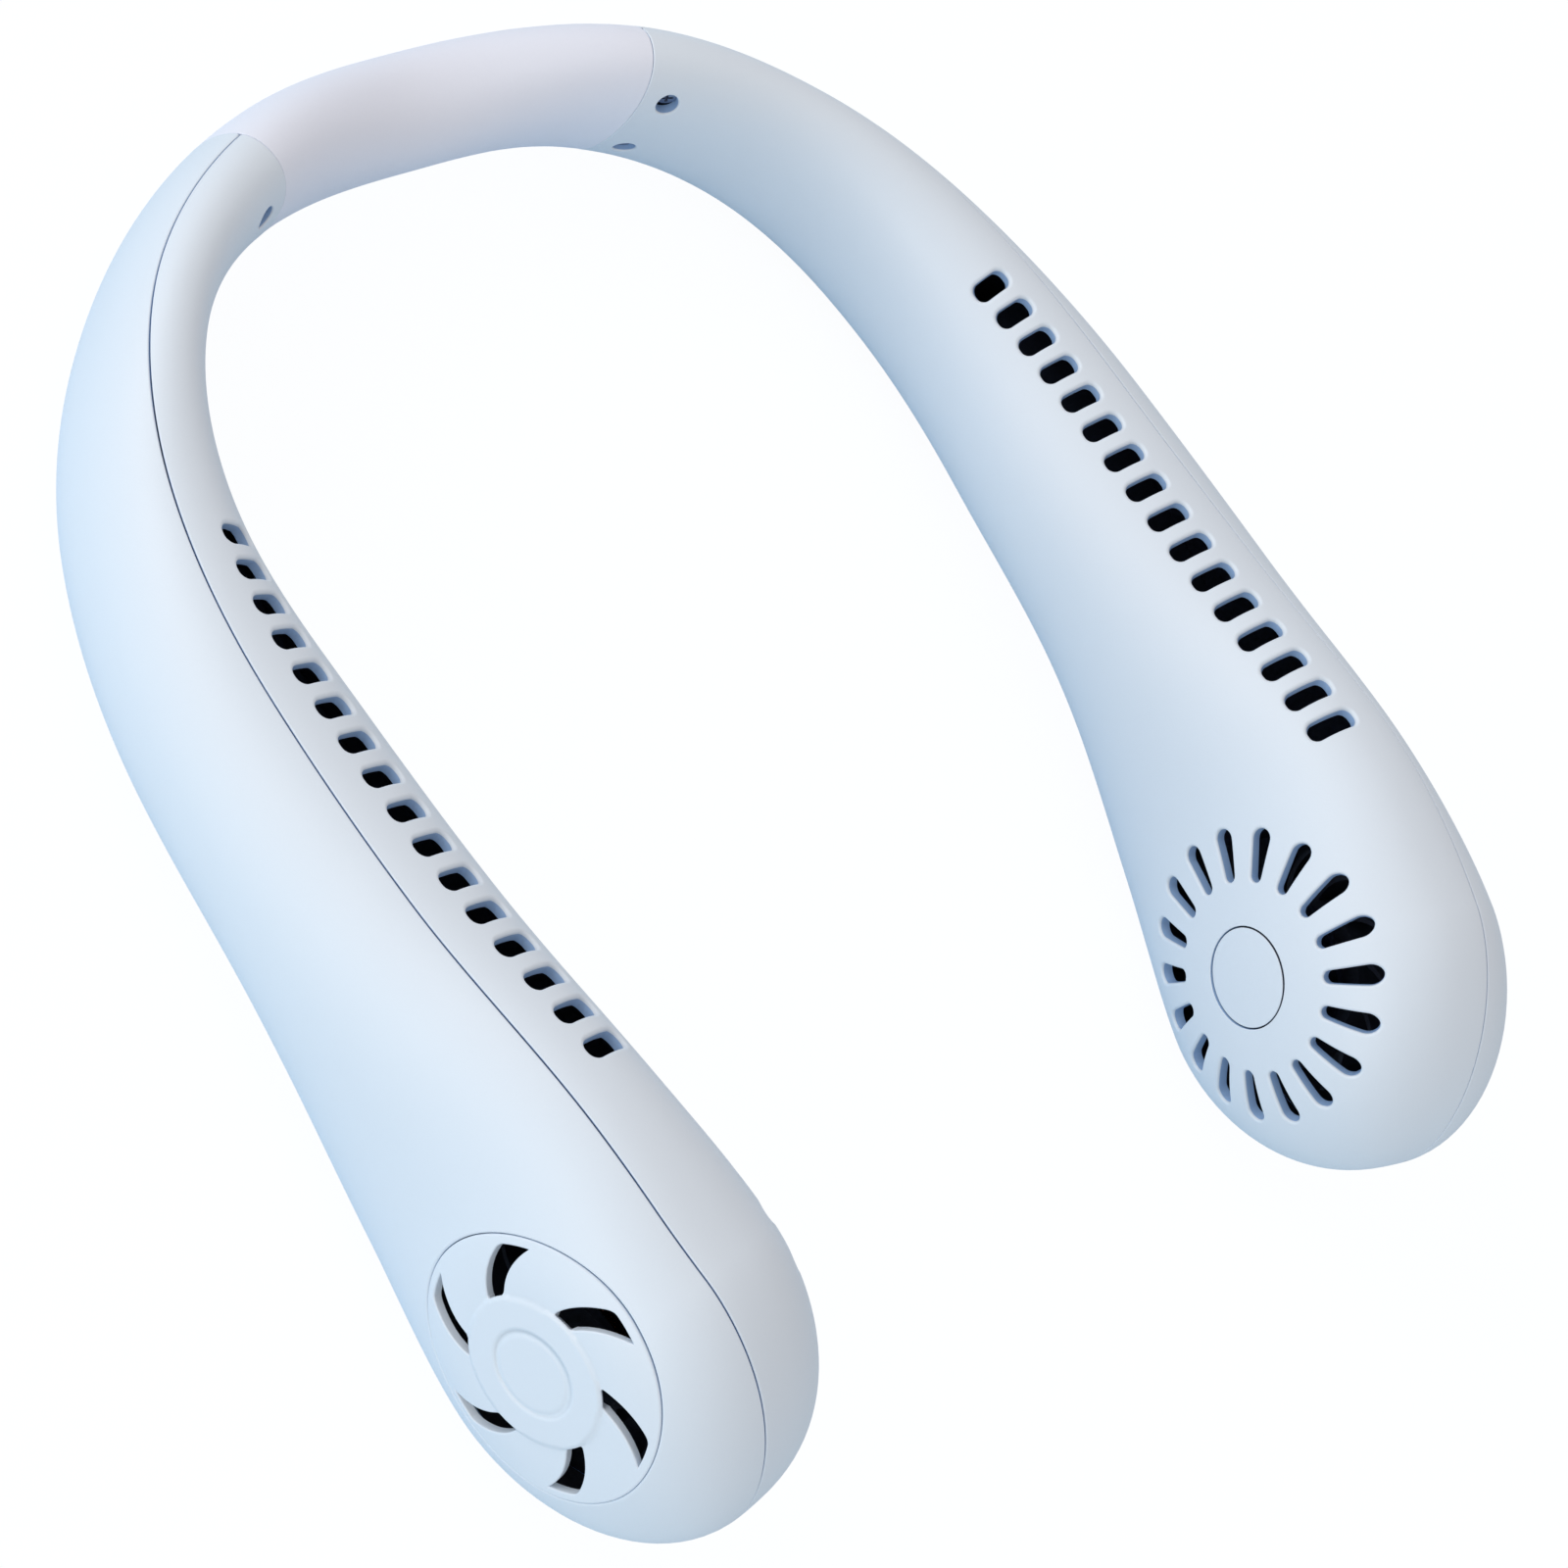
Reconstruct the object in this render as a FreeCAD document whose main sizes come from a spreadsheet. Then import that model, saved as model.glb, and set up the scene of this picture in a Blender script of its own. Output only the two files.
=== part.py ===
import FreeCAD, Part
import math
import os

# Electric neck fan: two hollow arms with fan pods, joined by a soft band. Millimetres, +Z up, +Y to the band.

V = FreeCAD.Vector
doc = FreeCAD.newDocument("neck_fan")
sheet = doc.addObject("Spreadsheet::Sheet", "Sizes")

SIZES = dict(
    # plan of the arm's centre-line
    reach=80.1, depth=83.2, roundness=2.41, bow_radius=597.0, back_y=14.56, pod_y=-75.84,
    # shells
    wall=1.8, seam_gap=0.3, fit_gap=0.25, tip_length=29.85, band_half=37.3,
    seam_tip=3.0, seam_pod=5.4, seam_arm=3.6, seam_joint=4.6,
    # air slots along the upper edge
    slot_count=16, slot_first=118.1, slot_pitch=5.7, slot_width=3.2, slot_short=6.2, slot_long=8.2, slot_side=-4.8,
    # fan axis of the pod, from the centre-line and the middle of the pod
    axis_inset=6.1, axis_ahead=1.48, axis_rise=2.1, toe_in=11.0,
    # grille and its middle disc
    grille_count=18, grille_inner=14.3, grille_outer=22.3, grille_narrow=1.0, grille_wide=1.55,
    disc_radius=7.5, disc_gap=0.25, disc_face=19.5, disc_thick=2.8, disc_crown=70.0, flange_radius=8.9, flange_thick=1.0,
    press_travel=0.6, press_gap=0.1, nub_radius=1.1, board_radius=12.2, board_thick=1.0, switch_side=4.2, switch_high=1.6,
    post_radius=1.3, post_circle=10.7, post_sunk=1.9, board_depth=7.0,
    # swirl cover and its seat
    cover_radius=19.5, cover_gap=0.2, cover_thick=1.6, cover_rim=15.1, cover_rise=1.9, cover_lean_side=0.042,
    cover_lean_up=0.057, hub_radius=11.1, hub_rise=0.5, ring_radius=6.2, ring_depth=0.25, seat_lip=1.5, collar=1.9,
    vane_count=6, boss_end=9.6,
    # impeller and motor
    wheel_radius=18.6, wheel_half=6.6, blade_count=11, blade_thick=1.1, plate_thick=1.2, cup_radius=10.6,
    cup_wall=1.0, cup_end=5.4, magnet_thick=1.1, air_gap=0.4, shaft_radius=1.0, shaft_clear=0.03, tube_radius=3.0,
    bush_radius=2.0, bracket_thick=1.4, bracket_hub=9.0, bracket_inset=0.8, strut_width=3.4, motor_screw=0.9,
    # air duct, cell and boards
    duct_low=22.6, duct_thick=1.4, duct_from=24.0, duct_to=116.0, cell_radius=7.1, cell_length=50.0, cell_at=84.0,
    pcb_long=20.0, pcb_high=14.0, pcb_thick=1.2, pcb_at=41.0, port_wide=9.0, port_thick=3.2, port_deep=7.4,
    # band
    band_step=0.5, half_gap=0.3, core_thick=0.8, core_low=12.2, core_high=18.6, wire_side=1.0, wire_thick=1.2,
    wire_low=13.4, wire_high=17.0, plug_length=14.0, plug_gap=0.6, neck_length=9.0, neck_inset=3.1,
    screw_back=5.0, screw_head=1.5, screw_head_high=1.4, screw_shank=0.8, screw_long=2.2, screw_hole=1.75, screw_upper=7.4,
    screw_lower=-5.3, screw_sunk=1.3,
)
TOPS = (58.7, 56.8, 45.8, 37.5, 32.7, 30.4, 28.4, 21.4)
LOWS = (0.5, 0.9, 5.1, 3.0, 0.6, 0.9, 2.2, 4.8)
HALVES = (19.1, 16.0, 15.6, 14.3, 10.1, 6.9, 7.6, 8.6)
STATIONS = (0.0, 0.12, 0.27, 0.42, 0.56, 0.70, 0.84, 1.0)
for place in range(len(STATIONS)):
    SIZES["top_at_%d" % place] = TOPS[place]
    SIZES["low_at_%d" % place] = LOWS[place]
    SIZES["half_at_%d" % place] = HALVES[place]
# sizes that follow from the ones above
SIZES.update(
    axis_x="=reach - axis_inset",
    axis_y="=pod_y + axis_ahead",
    axis_z="=(top_at_0 + low_at_0) / 2 + axis_rise",
    collar_radius="=cover_radius + collar",
    lip_radius="=cover_radius - seat_lip",
    bracket_radius="=collar_radius - bracket_inset",
    bracket_low="=boss_end - bracket_thick",
    tube_low="=2.2 - cup_end",
    bush_high="=boss_end - 0.7",
    bush_inner="=shaft_radius + shaft_clear",
    cup_inner="=cup_radius - cup_wall",
    cup_low="=-cup_end - 1.2",
    magnet_inner="=cup_inner - magnet_thick",
    stator_radius="=magnet_inner - air_gap",
    stator_low="=tube_low + 0.6",
    stator_high="=bracket_low - 1",
    magnet_high="=stator_high - 0.4",
    shaft_high="=boss_end - 1.2",
    screw_circle="=(bracket_radius + lip_radius) / 2",
    disc_low="=-disc_face",
    flange_low="=disc_thick - disc_face",
    flange_high="=flange_low + flange_thick",
    board_low="=board_depth - disc_face",
    board_high="=board_low + board_thick",
    switch_low="=board_low - switch_high",
    nub_high="=switch_low - press_travel - press_gap",
    pcb_low="=duct_low - 0.2 - pcb_high",
    cell_level="=duct_low - 0.2 - cell_radius",
)
for row, (alias, value) in enumerate(SIZES.items(), 1):
    sheet.set("A%d" % row, alias)
    sheet.set("B%d" % row, str(value))
    sheet.setAlias("B%d" % row, alias)
doc.recompute()


def size(alias):
    return float(sheet.get(alias))


# Curves of the arm

def smooth(knots, values, at):
    """Cubic through the values, level at both ends."""
    last = len(knots) - 1
    at = min(max(at, knots[0]), knots[last])
    slopes = [0.0] * (last + 1)
    for i in range(1, last):
        slopes[i] = (values[i + 1] - values[i - 1]) / (knots[i + 1] - knots[i - 1])
    i = max(k for k in range(last) if knots[k] <= at)
    span = knots[i + 1] - knots[i]
    t = (at - knots[i]) / span
    return (
        values[i] * (1 + 2 * t) * (1 - t) ** 2
        + slopes[i] * span * t * (1 - t) ** 2
        + values[i + 1] * t * t * (3 - 2 * t)
        + slopes[i + 1] * span * t * t * (t - 1)
    )


def plan_curve():
    """Points of the centre-line from the middle of the band past the tip of the pod."""
    reach, depth, power, back = size("reach"), size("depth"), 2 / size("roundness"), size("back_y")
    points = []
    for i in range(181):
        turn = math.pi / 2 * (1 - i / 180)
        points.append((reach * max(math.cos(turn), 0.0) ** power, back + depth * math.sin(turn) ** power))
    for i in range(1, 161):
        drop = i * (back - size("pod_y") + 45) / 160
        points.append((reach - drop ** 2 / (2 * size("bow_radius")), back - drop))
    return points


PLAN = plan_curve()
RUN = [0.0]
for (x0, y0), (x1, y1) in zip(PLAN, PLAN[1:]):
    RUN.append(RUN[-1] + math.hypot(x1 - x0, y1 - y0))


def run_at_y(y):
    i = max(k for k in range(len(PLAN) - 1) if PLAN[k][1] >= y)
    return RUN[i] + (RUN[i + 1] - RUN[i]) * (PLAN[i][1] - y) / (PLAN[i][1] - PLAN[i + 1][1])


ARM_RUN = run_at_y(size("pod_y"))


def plan_at(length):
    """Point and outward normal of the centre-line at a length measured from the pod's middle towards the band."""
    if length > ARM_RUN:
        x, y, nx, ny = plan_at(2 * ARM_RUN - length)
        return -x, y, -nx, ny
    run = min(ARM_RUN - length, RUN[-2])
    i = max(k for k in range(len(RUN) - 1) if RUN[k] <= run)
    t = (run - RUN[i]) / (RUN[i + 1] - RUN[i])
    before, after = max(i - 1, 0), min(i + 2, len(PLAN) - 1)
    ways = []
    for a, b in ((before, i + 1), (i, after)):
        ways.append((PLAN[b][0] - PLAN[a][0], PLAN[b][1] - PLAN[a][1]))
    dx, dy = [ways[0][k] * (1 - t) + ways[1][k] * t for k in (0, 1)]
    if run <= 0.0:
        dx, dy = 1.0, 0.0
    norm = math.hypot(dx, dy)
    x, y = [PLAN[i][k] * (1 - t) + PLAN[i + 1][k] * t for k in (0, 1)]
    return x, y, -dy / norm, dx / norm


def station(alias, length):
    return smooth(STATIONS, [size("%s_at_%d" % (alias, k)) for k in range(len(STATIONS))], length / ARM_RUN)


def section(length, inset=0.0):
    """Half-thickness, waist level, heights above and below it and the squareness of the arm at a length."""
    half, top, low = station("half", length), station("top", length), station("low", length)
    tip = size("tip_length") - inset
    share = min(max(-length / tip, 0.0), 1.0)
    middle, tall = (top + low) / 2, (top - low) / 2 - inset
    lift = smooth((0.0, 0.12, 0.42, 1.0), (0.0, 0.05, 0.16, 0.0), length / ARM_RUN)
    square = smooth((0.0, 0.25, 0.7, 1.0), (2.37, 2.13, 2.15, 2.2), length / ARM_RUN)
    tall *= (1 - share ** 1.74) ** (1 / 1.74)
    half = (half - inset) * (1 - share ** 2.58) ** (1 / 2.58)
    return half, middle + lift * tall, tall * (1 - lift), tall * (1 + lift), square


def skin_point(length, angle, inset=0.0):
    half, waist, above, below, square = section(length, inset)
    x, y, nx, ny = plan_at(length)
    c, s = math.cos(angle), math.sin(angle)
    side = math.copysign(half * abs(c) ** (2 / square), c)
    rise = math.copysign((above if s > 0 else below) * abs(s) ** (2 / square), s)
    return V(x + side * nx, y + side * ny, waist + rise)


def outline(length, inset=0.0, count=16):
    start = -0.625 * math.pi
    points = [skin_point(length, start + 2 * math.pi * k / count, inset) for k in range(count)]
    curve = Part.BSplineCurve()
    curve.interpolate(points, PeriodicFlag=True, Parameters=[k / count for k in range(count + 1)])
    return Part.Wire(curve.toShape())


def form(start, end, inset=0.0, pieces=9):
    """Solid between two lengths; end None carries on round the tip of the pod."""
    stop = 0.0 if end is None else end
    lengths = [start + (stop - start) * k / pieces for k in range(pieces + 1)]
    shapes = [outline(length, inset) for length in lengths]
    if end is None:
        tip = size("tip_length") - inset
        for turn in (18, 36, 54, 70, 82):
            shapes.append(outline(-tip * math.sin(math.radians(turn)), inset))
        x, y, nx, ny = plan_at(-tip)
        shapes.append(Part.Vertex(V(x, y, section(-tip, inset)[1])))
    solid = Part.makeLoft(shapes, True, False)
    return solid if solid.Volume > 0 else solid.reversed()


def side_strip(start, end, inner, outer, low, high, pieces=24):
    """Upright strip that follows the centre-line between two side offsets, which may be functions of the length."""
    edge = []
    for offset in (inner, outer):
        points = []
        for k in range(pieces + 1):
            length = start + (end - start) * k / pieces
            x, y, nx, ny = plan_at(length)
            side = offset(length) if callable(offset) else offset
            points.append(V(x + side * nx, y + side * ny, low))
        curve = Part.BSplineCurve()
        curve.interpolate(points)
        edge.append((curve.toShape(), points))
    wire = Part.Wire([
        edge[0][0],
        Part.makeLine(edge[0][1][-1], edge[1][1][-1]),
        edge[1][0],
        Part.makeLine(edge[1][1][0], edge[0][1][0]),
    ])
    return Part.Face(wire).extrude(V(0, 0, high - low))


def seam_side(length):
    ends = (-size("tip_length") / ARM_RUN, 0.05, 0.5, 0.83)
    values = [size(name) for name in ("seam_tip", "seam_pod", "seam_arm", "seam_joint")]
    return smooth(ends, values, length / ARM_RUN)


# Pod frame: x along the arm to the band, y up, z along the fan axis to the outer side

TURN = math.radians(size("toe_in"))
POD = FreeCAD.Placement(
    V(size("axis_x"), size("axis_y"), size("axis_z")),
    FreeCAD.Rotation(V(math.sin(TURN), math.cos(TURN), 0), V(0, 0, 1), V(math.cos(TURN), -math.sin(TURN), 0), "ZYX"),
)


# The swirl cover lies flush in the skin, which leans a little from the fan axis
LEAN = FreeCAD.Rotation(V(0, 0, 1), V(size("cover_lean_side"), size("cover_lean_up"), 1))
COVER = POD.multiply(FreeCAD.Placement(V(0, 0, 0), LEAN))


def in_pod(shape, frame=POD):
    moved = shape.copy()
    moved.Placement = frame.multiply(moved.Placement)
    return moved


def rod(radius, low, high, x=0.0, y=0.0):
    return Part.makeCylinder(radius, high - low, V(x, y, low))


def around(count, radius, start=0.0):
    return [
        (radius * math.cos(start + 2 * math.pi * k / count), radius * math.sin(start + 2 * math.pi * k / count))
        for k in range(count)
    ]


def spun(shape, count, start=0.0):
    copies = []
    for k in range(count):
        copy = shape.copy()
        copy.rotate(V(0, 0, 0), V(0, 0, 1), start + 360.0 * k / count)
        copies.append(copy)
    return copies


def polar(radius, degrees, z=0.0):
    return V(radius * math.cos(math.radians(degrees)), radius * math.sin(math.radians(degrees)), z)


PIECES = []
ACROSS = V(1, 0, 0)


def add(label, shape):
    node = doc.addObject("Part::Feature", label)
    node.Label = label
    node.Shape = shape
    PIECES.append(node)
    return node


def both(label, shape):
    """The piece of the right arm and its mirror image for the left arm."""
    add("right_" + label, shape)
    add("left_" + label, shape.mirror(V(0, 0, 0), ACROSS))


# Plain pieces are primitives bound to the sheet

def bound(kind, name, at, **sizes):
    piece = doc.addObject("Part::" + kind, name)
    for key, text in sizes.items():
        piece.setExpression(key, text)
    for key, text in zip("xyz", at):
        piece.setExpression("Placement.Base." + key, text)
    return piece


def pin(name, radius, low, high, spot=("0", "0")):
    """Cylinder between two levels of the sheet."""
    return bound(
        "Cylinder", name, spot + ("Sizes." + low,), Radius="Sizes." + radius, Height="Sizes.%s - Sizes.%s" % (high, low)
    )


def joined(kind, name, *pieces):
    """Cut, MultiCommon, MultiFuse or Compound of pieces."""
    result = doc.addObject("Part::" + kind, name)
    if kind == "Cut":
        result.Base, result.Tool = pieces
    elif kind == "Compound":
        result.Links = list(pieces)
    else:
        result.Shapes = list(pieces)
    return result


def keep(piece, label, frame):
    piece.Label = label
    piece.Placement = frame
    PIECES.append(piece)
    return piece


def mirrored(piece, label):
    twin = doc.addObject("Part::Mirroring", label)
    twin.Label = label
    twin.Source = piece
    twin.Normal = ACROSS
    PIECES.append(twin)


def keep_both(piece, label):
    mirrored(keep(piece, "right_" + label, POD), "left_" + label)


# Hollow arm, split along the parting line into an outer and an inner shell

wall, gap = size("wall"), size("fit_gap")
joint = ARM_RUN - size("band_half")
outer_form = form(joint, None)
cover_r, rim, lip_r = size("cover_radius"), size("cover_rim"), size("lip_radius")
collar_r = size("collar_radius")
beyond = size("reach") + size("depth")
spigot = in_pod(rod(collar_r, 0, beyond), COVER).common(in_pod(rod(beyond, size("boss_end"), beyond)))
room_form = form(joint + 2, None, wall).cut(spigot)
hollow = outer_form.cut(room_form)


def outward(shift):
    far, high = size("half_at_0") * 2.5, size("top_at_0") + size("half_at_0")
    return side_strip(joint + 8, -size("tip_length") - 12, lambda length: seam_side(length) + shift, far, -8, high)


outer_raw = hollow.common(outward(size("seam_gap") / 2))
inner_raw = hollow.cut(outward(-size("seam_gap") / 2))


def slot_cutters():
    cutters = []
    for k in range(int(size("slot_count"))):
        length = size("slot_first") - k * size("slot_pitch")
        half, waist, above, below, square = section(length)
        angle = math.acos(max(-1.0, min(1.0, -(abs(size("slot_side")) / half) ** (square / 2))))
        centre = skin_point(length, angle)
        along = (skin_point(length - 1, angle) - skin_point(length + 1, angle)).normalize()
        across = (skin_point(length, angle - 0.03) - skin_point(length, angle + 0.03)).normalize()
        out = across.cross(along).normalize()
        if out.z < 0:
            out = out.negative()
        across = along.cross(out)
        share = k / (size("slot_count") - 1)
        long = size("slot_short") + share * (size("slot_long") - size("slot_short"))
        box = Part.makeBox(size("slot_width"), long, 9.0, V(-size("slot_width") / 2, -long / 2, -6.0))
        box = box.makeFillet(size("slot_width") * 0.38, [e for e in box.Edges if abs(e.tangentAt(0).z) > 0.9])
        box.Placement = FreeCAD.Placement(centre, FreeCAD.Rotation(along, across, out, "ZXY"))
        cutters.append(box)
    return cutters


def grille_cutters():
    r0, r1 = size("grille_inner"), size("grille_outer")
    w0, w1 = size("grille_narrow"), size("grille_wide")
    a, b = V(r0 + w0, -w0, 0), V(r1 - w1, -w1, 0)
    c, d = V(r1 - w1, w1, 0), V(r0 + w0, w0, 0)
    wire = Part.Wire([
        Part.makeLine(a, b),
        Part.Arc(b, V(r1, 0, 0), c).toShape(),
        Part.makeLine(c, d),
        Part.Arc(d, V(r0, 0, 0), a).toShape(),
    ])
    bar = Part.Face(wire).extrude(V(0, 0, 24))
    bar.translate(V(0, 0, -28))
    return [in_pod(copy) for copy in spun(bar, int(size("grille_count")), 10)]


def screw_seats():
    """Middle, outward direction to the neck and skin depth of each band screw."""
    length = joint - size("screw_back")
    x, y, nx, ny = plan_at(length)
    half, waist, above, below, square = section(length)
    seats = []
    for rise in (size("screw_upper"), size("screw_lower")):
        tall = above if rise > 0 else below
        side = half * (1 - abs(rise / tall) ** square) ** (1 / square)
        seats.append((V(x - side * nx, y - side * ny, waist + rise), V(-nx, -ny, 0)))
    return seats


def post_spots():
    return around(3, size("post_circle"), math.radians(90))


# Inner shell: slots, grille, disc hole and the posts of the switch board
post_low = size("disc_low") + size("post_sunk")
posts = [rod(size("post_radius"), post_low, size("board_low"), x, y) for x, y in post_spots()]
inner_raw = inner_raw.fuse([in_pod(post) for post in posts])
disc_hole = in_pod(rod(size("disc_radius") + size("disc_gap"), -30, -8))
inner_shell = inner_raw.cut(slot_cutters()).cut(grille_cutters()).cut(disc_hole)
for centre, out in screw_seats():
    inner_shell = inner_shell.cut(Part.makeCylinder(size("screw_hole"), 8, centre - out * 4, out))

# Outer shell: the seat of the swirl cover in the spigot that carries the motor bracket
outer_shell = outer_raw.cut([
    in_pod(rod(cover_r + size("cover_gap"), rim - size("cover_thick") - 0.1, 40), COVER),
    in_pod(rod(lip_r, -2, 40), COVER),
])

# Charging port in the lower edge of the right arm
port_x, port_y, port_nx, port_ny = plan_at(size("pcb_at"))
port_spot = FreeCAD.Placement(
    V(port_x, port_y, station("low", size("pcb_at"))),
    FreeCAD.Rotation(V(-port_ny, port_nx, 0), V(-port_nx, -port_ny, 0), V(0, 0, 1), "ZXY"),
)


def oblong(wide, thick, low, high):
    box = Part.makeBox(wide, thick, high - low, V(-wide / 2, -thick / 2, low))
    box = box.makeFillet(thick * 0.48, [e for e in box.Edges if abs(e.tangentAt(0).z) > 0.9])
    box.Placement = port_spot
    return box


port_hole = oblong(size("port_wide") + 0.5, size("port_thick") + 0.5, -4, 6)


add("right_inner_shell", inner_shell.cut(port_hole))
add("left_inner_shell", inner_shell.mirror(V(0, 0, 0), ACROSS))
both("outer_shell", outer_shell)


# Swirl cover: shallow dome with six swept openings, a raised hub and a shallow ring
def swirl_cover():
    thick, rise, hub = size("cover_thick"), size("cover_rise"), size("hub_radius")
    drop = (cover_r ** 2 + rise ** 2) / (2 * rise)
    ball = Part.makeSphere(drop, V(0, 0, rim + rise - drop))
    inside = Part.makeSphere(drop - thick, V(0, 0, rim + rise - drop))
    dome = rod(cover_r, rim - thick, rim + rise + 1).common(ball).cut(inside)
    dome = dome.fuse(rod(cover_r, rim - thick, rim).cut(rod(cover_r - size("seat_lip") - 0.4, rim - 9, rim + 9)))
    dome = dome.fuse(rod(hub, rim + rise - thick - 0.6, rim + rise + size("hub_rise")))
    ring = rod(size("ring_radius") + 0.35, 0, 40).cut(rod(size("ring_radius") - 0.35, 0, 40))
    ring.translate(V(0, 0, rim + rise + size("hub_rise") - size("ring_depth")))
    r0, r1 = hub + 0.4, cover_r - 1.5
    corners = [polar(r0, 2), polar(r1, 25), polar(r1, 38), polar(r0, 18)]
    middle = (r0 + r1) / 2 + 0.2
    wire = Part.Wire([
        Part.Arc(corners[0], polar(middle, 11), corners[1]).toShape(),
        Part.Arc(corners[1], polar(r1, 31), corners[2]).toShape(),
        Part.Arc(corners[2], polar(middle, 26), corners[3]).toShape(),
        Part.Arc(corners[3], polar(r0, 10), corners[0]).toShape(),
    ])
    opening = Part.Face(wire).extrude(V(0, 0, 14))
    opening.translate(V(0, 0, rim - 5))
    return dome.cut([ring] + spun(opening, int(size("vane_count"))))


both("swirl_cover", in_pod(swirl_cover(), COVER))


# Motor bracket: ring on the spigot, three struts, hub and bearing tube
def ring_of(outer, inner, low, high):
    return rod(outer, low, high).cut(rod(inner, low - 1, high + 1))


bracket_ring = joined(
    "Cut", "bracket_ring",
    pin("bracket_disc", "bracket_radius", "bracket_low", "boss_end"),
    pin("bracket_window", "lip_radius", "bracket_low", "boss_end"),
)
struts = []
for turn in (30, 150, 270):
    start = ("Sizes.strut_width / 2 * sin(%d deg)" % turn, "-Sizes.strut_width / 2 * cos(%d deg)" % turn)
    strut = bound(
        "Box", "bracket_strut_%d" % turn, start + ("Sizes.bracket_low",), Length="Sizes.bracket_radius - 0.5",
        Width="Sizes.strut_width", Height="Sizes.bracket_thick",
    )
    strut.Placement.Rotation = FreeCAD.Rotation(V(0, 0, 1), turn)
    struts.append(strut)
bracket_web = joined(
    "MultiFuse", "bracket_web", bracket_ring, pin("bracket_hub_disc", "bracket_hub", "bracket_low", "boss_end"),
    pin("bracket_tube", "tube_radius", "tube_low", "boss_end"), *struts,
)
screw_spots = []
for turn in (90, 210, 330):
    screw_spots.append(("Sizes.screw_circle * cos(%d deg)" % turn, "Sizes.screw_circle * sin(%d deg)" % turn))
holes = [pin("bracket_bore", "bush_radius", "tube_low", "bush_high")]
for k, spot in enumerate(screw_spots):
    holes.append(pin("bracket_hole_%d" % k, "motor_screw", "bracket_low", "boss_end", spot))
bracket = joined("Cut", "bracket", bracket_web, joined("Compound", "bracket_holes", *holes))
keep_both(bracket, "motor_bracket")
motor_screws = []
for k, spot in enumerate(screw_spots):
    shank = bound(
        "Cylinder", "motor_screw_shank_%d" % k, spot + ("Sizes.bracket_low",), Radius="Sizes.motor_screw",
        Height="Sizes.bracket_thick - 0.01",
    )
    head = bound(
        "Cylinder", "motor_screw_head_%d" % k, spot + ("Sizes.stator_high",), Radius="1.75 * Sizes.motor_screw",
        Height="Sizes.bracket_low - Sizes.stator_high",
    )
    motor_screws.append(joined("MultiFuse", "motor_screw_%d" % k, shank, head))
keep_both(joined("Compound", "motor_screw_set", *motor_screws), "motor_screws")
bush = joined(
    "Cut", "bush", pin("bush_outside", "bush_radius", "tube_low", "bush_high"),
    pin("bush_bore", "bush_inner", "tube_low", "bush_high"),
)
keep_both(bush, "bearing_bush")

# Motor: wound stator on the tube, magnet ring in the rotor cup, shaft pressed into the cup
cup_inner, stator_r = size("cup_inner"), size("stator_radius")
stator_low, stator_high = size("stator_low"), size("stator_high")
stator = rod(size("tube_radius") + 1.4, stator_low, stator_high)
teeth = []
tooth = Part.makeBox(stator_r - 1, 1.6, stator_high - stator_low, V(1, -0.8, stator_low))
shoe = ring_of(stator_r, stator_r - 1.0, stator_low, stator_high).common(
    Part.makeBox(stator_r + 1, 4.4, 40, V(0, -2.2, -20))
)
winding = Part.makeBox(
    stator_r - size("tube_radius") - 3.0, 3.0, stator_high - stator_low - 1.2,
    V(size("tube_radius") + 1.7, -1.5, stator_low + 0.6),
)
for part in (tooth, shoe, winding):
    teeth += spun(part, 6)
stator = stator.fuse(teeth).cut(rod(size("tube_radius"), -30, 30))
both("stator", in_pod(stator))
magnet = joined(
    "Cut", "magnet", pin("magnet_outside", "cup_inner", "stator_low", "magnet_high"),
    pin("magnet_bore", "magnet_inner", "stator_low", "magnet_high"),
)
keep_both(magnet, "magnet_ring")
shaft_rod = pin("shaft_rod", "shaft_radius", "cup_low", "shaft_high")
keep_both(joined("Compound", "shaft_set", shaft_rod), "shaft")


# Impeller: rotor cup, middle plate and backward-curved blades on both sides
def impeller():
    cup_r, half = size("cup_radius"), size("wheel_half")
    wheel = rod(cup_r, size("cup_low"), stator_high - 0.2)
    wheel = wheel.cut(rod(cup_inner, -size("cup_end"), 40))
    wheel = wheel.fuse(ring_of(size("wheel_radius"), cup_r - 0.3, -size("plate_thick") / 2, size("plate_thick") / 2))
    r0, r1, thick = cup_r - 0.4, size("wheel_radius"), math.degrees(size("blade_thick") / size("wheel_radius"))
    a, b, c = polar(r0, 0), polar((r0 + r1) / 2, 13), polar(r1, 34)
    d, e, f = polar(r1, 34 + thick), polar((r0 + r1) / 2, 13 + 1.25 * thick), polar(r0, 1.7 * thick)
    wire = Part.Wire([
        Part.Arc(a, b, c).toShape(), Part.makeLine(c, d), Part.Arc(d, e, f).toShape(), Part.makeLine(f, a)
    ])
    blade = Part.Face(wire).extrude(V(0, 0, 2 * half))
    blade.translate(V(0, 0, -half))
    wheel = wheel.fuse(spun(blade, int(size("blade_count"))))
    return wheel.cut(rod(size("shaft_radius"), -30, 30))


both("impeller", in_pod(impeller()))

# Middle disc: push button on the right, fixed cap on the left
def crowned_disc(name):
    ball = bound("Sphere", name + "_crown", ("0", "0", "Sizes.disc_crown - Sizes.disc_face"), Radius="Sizes.disc_crown")
    face = joined("MultiCommon", name + "_face", pin(name + "_rod", "disc_radius", "disc_low", "flange_low"), ball)
    return face, pin(name + "_flange", "flange_radius", "flange_low", "flange_high")


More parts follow.
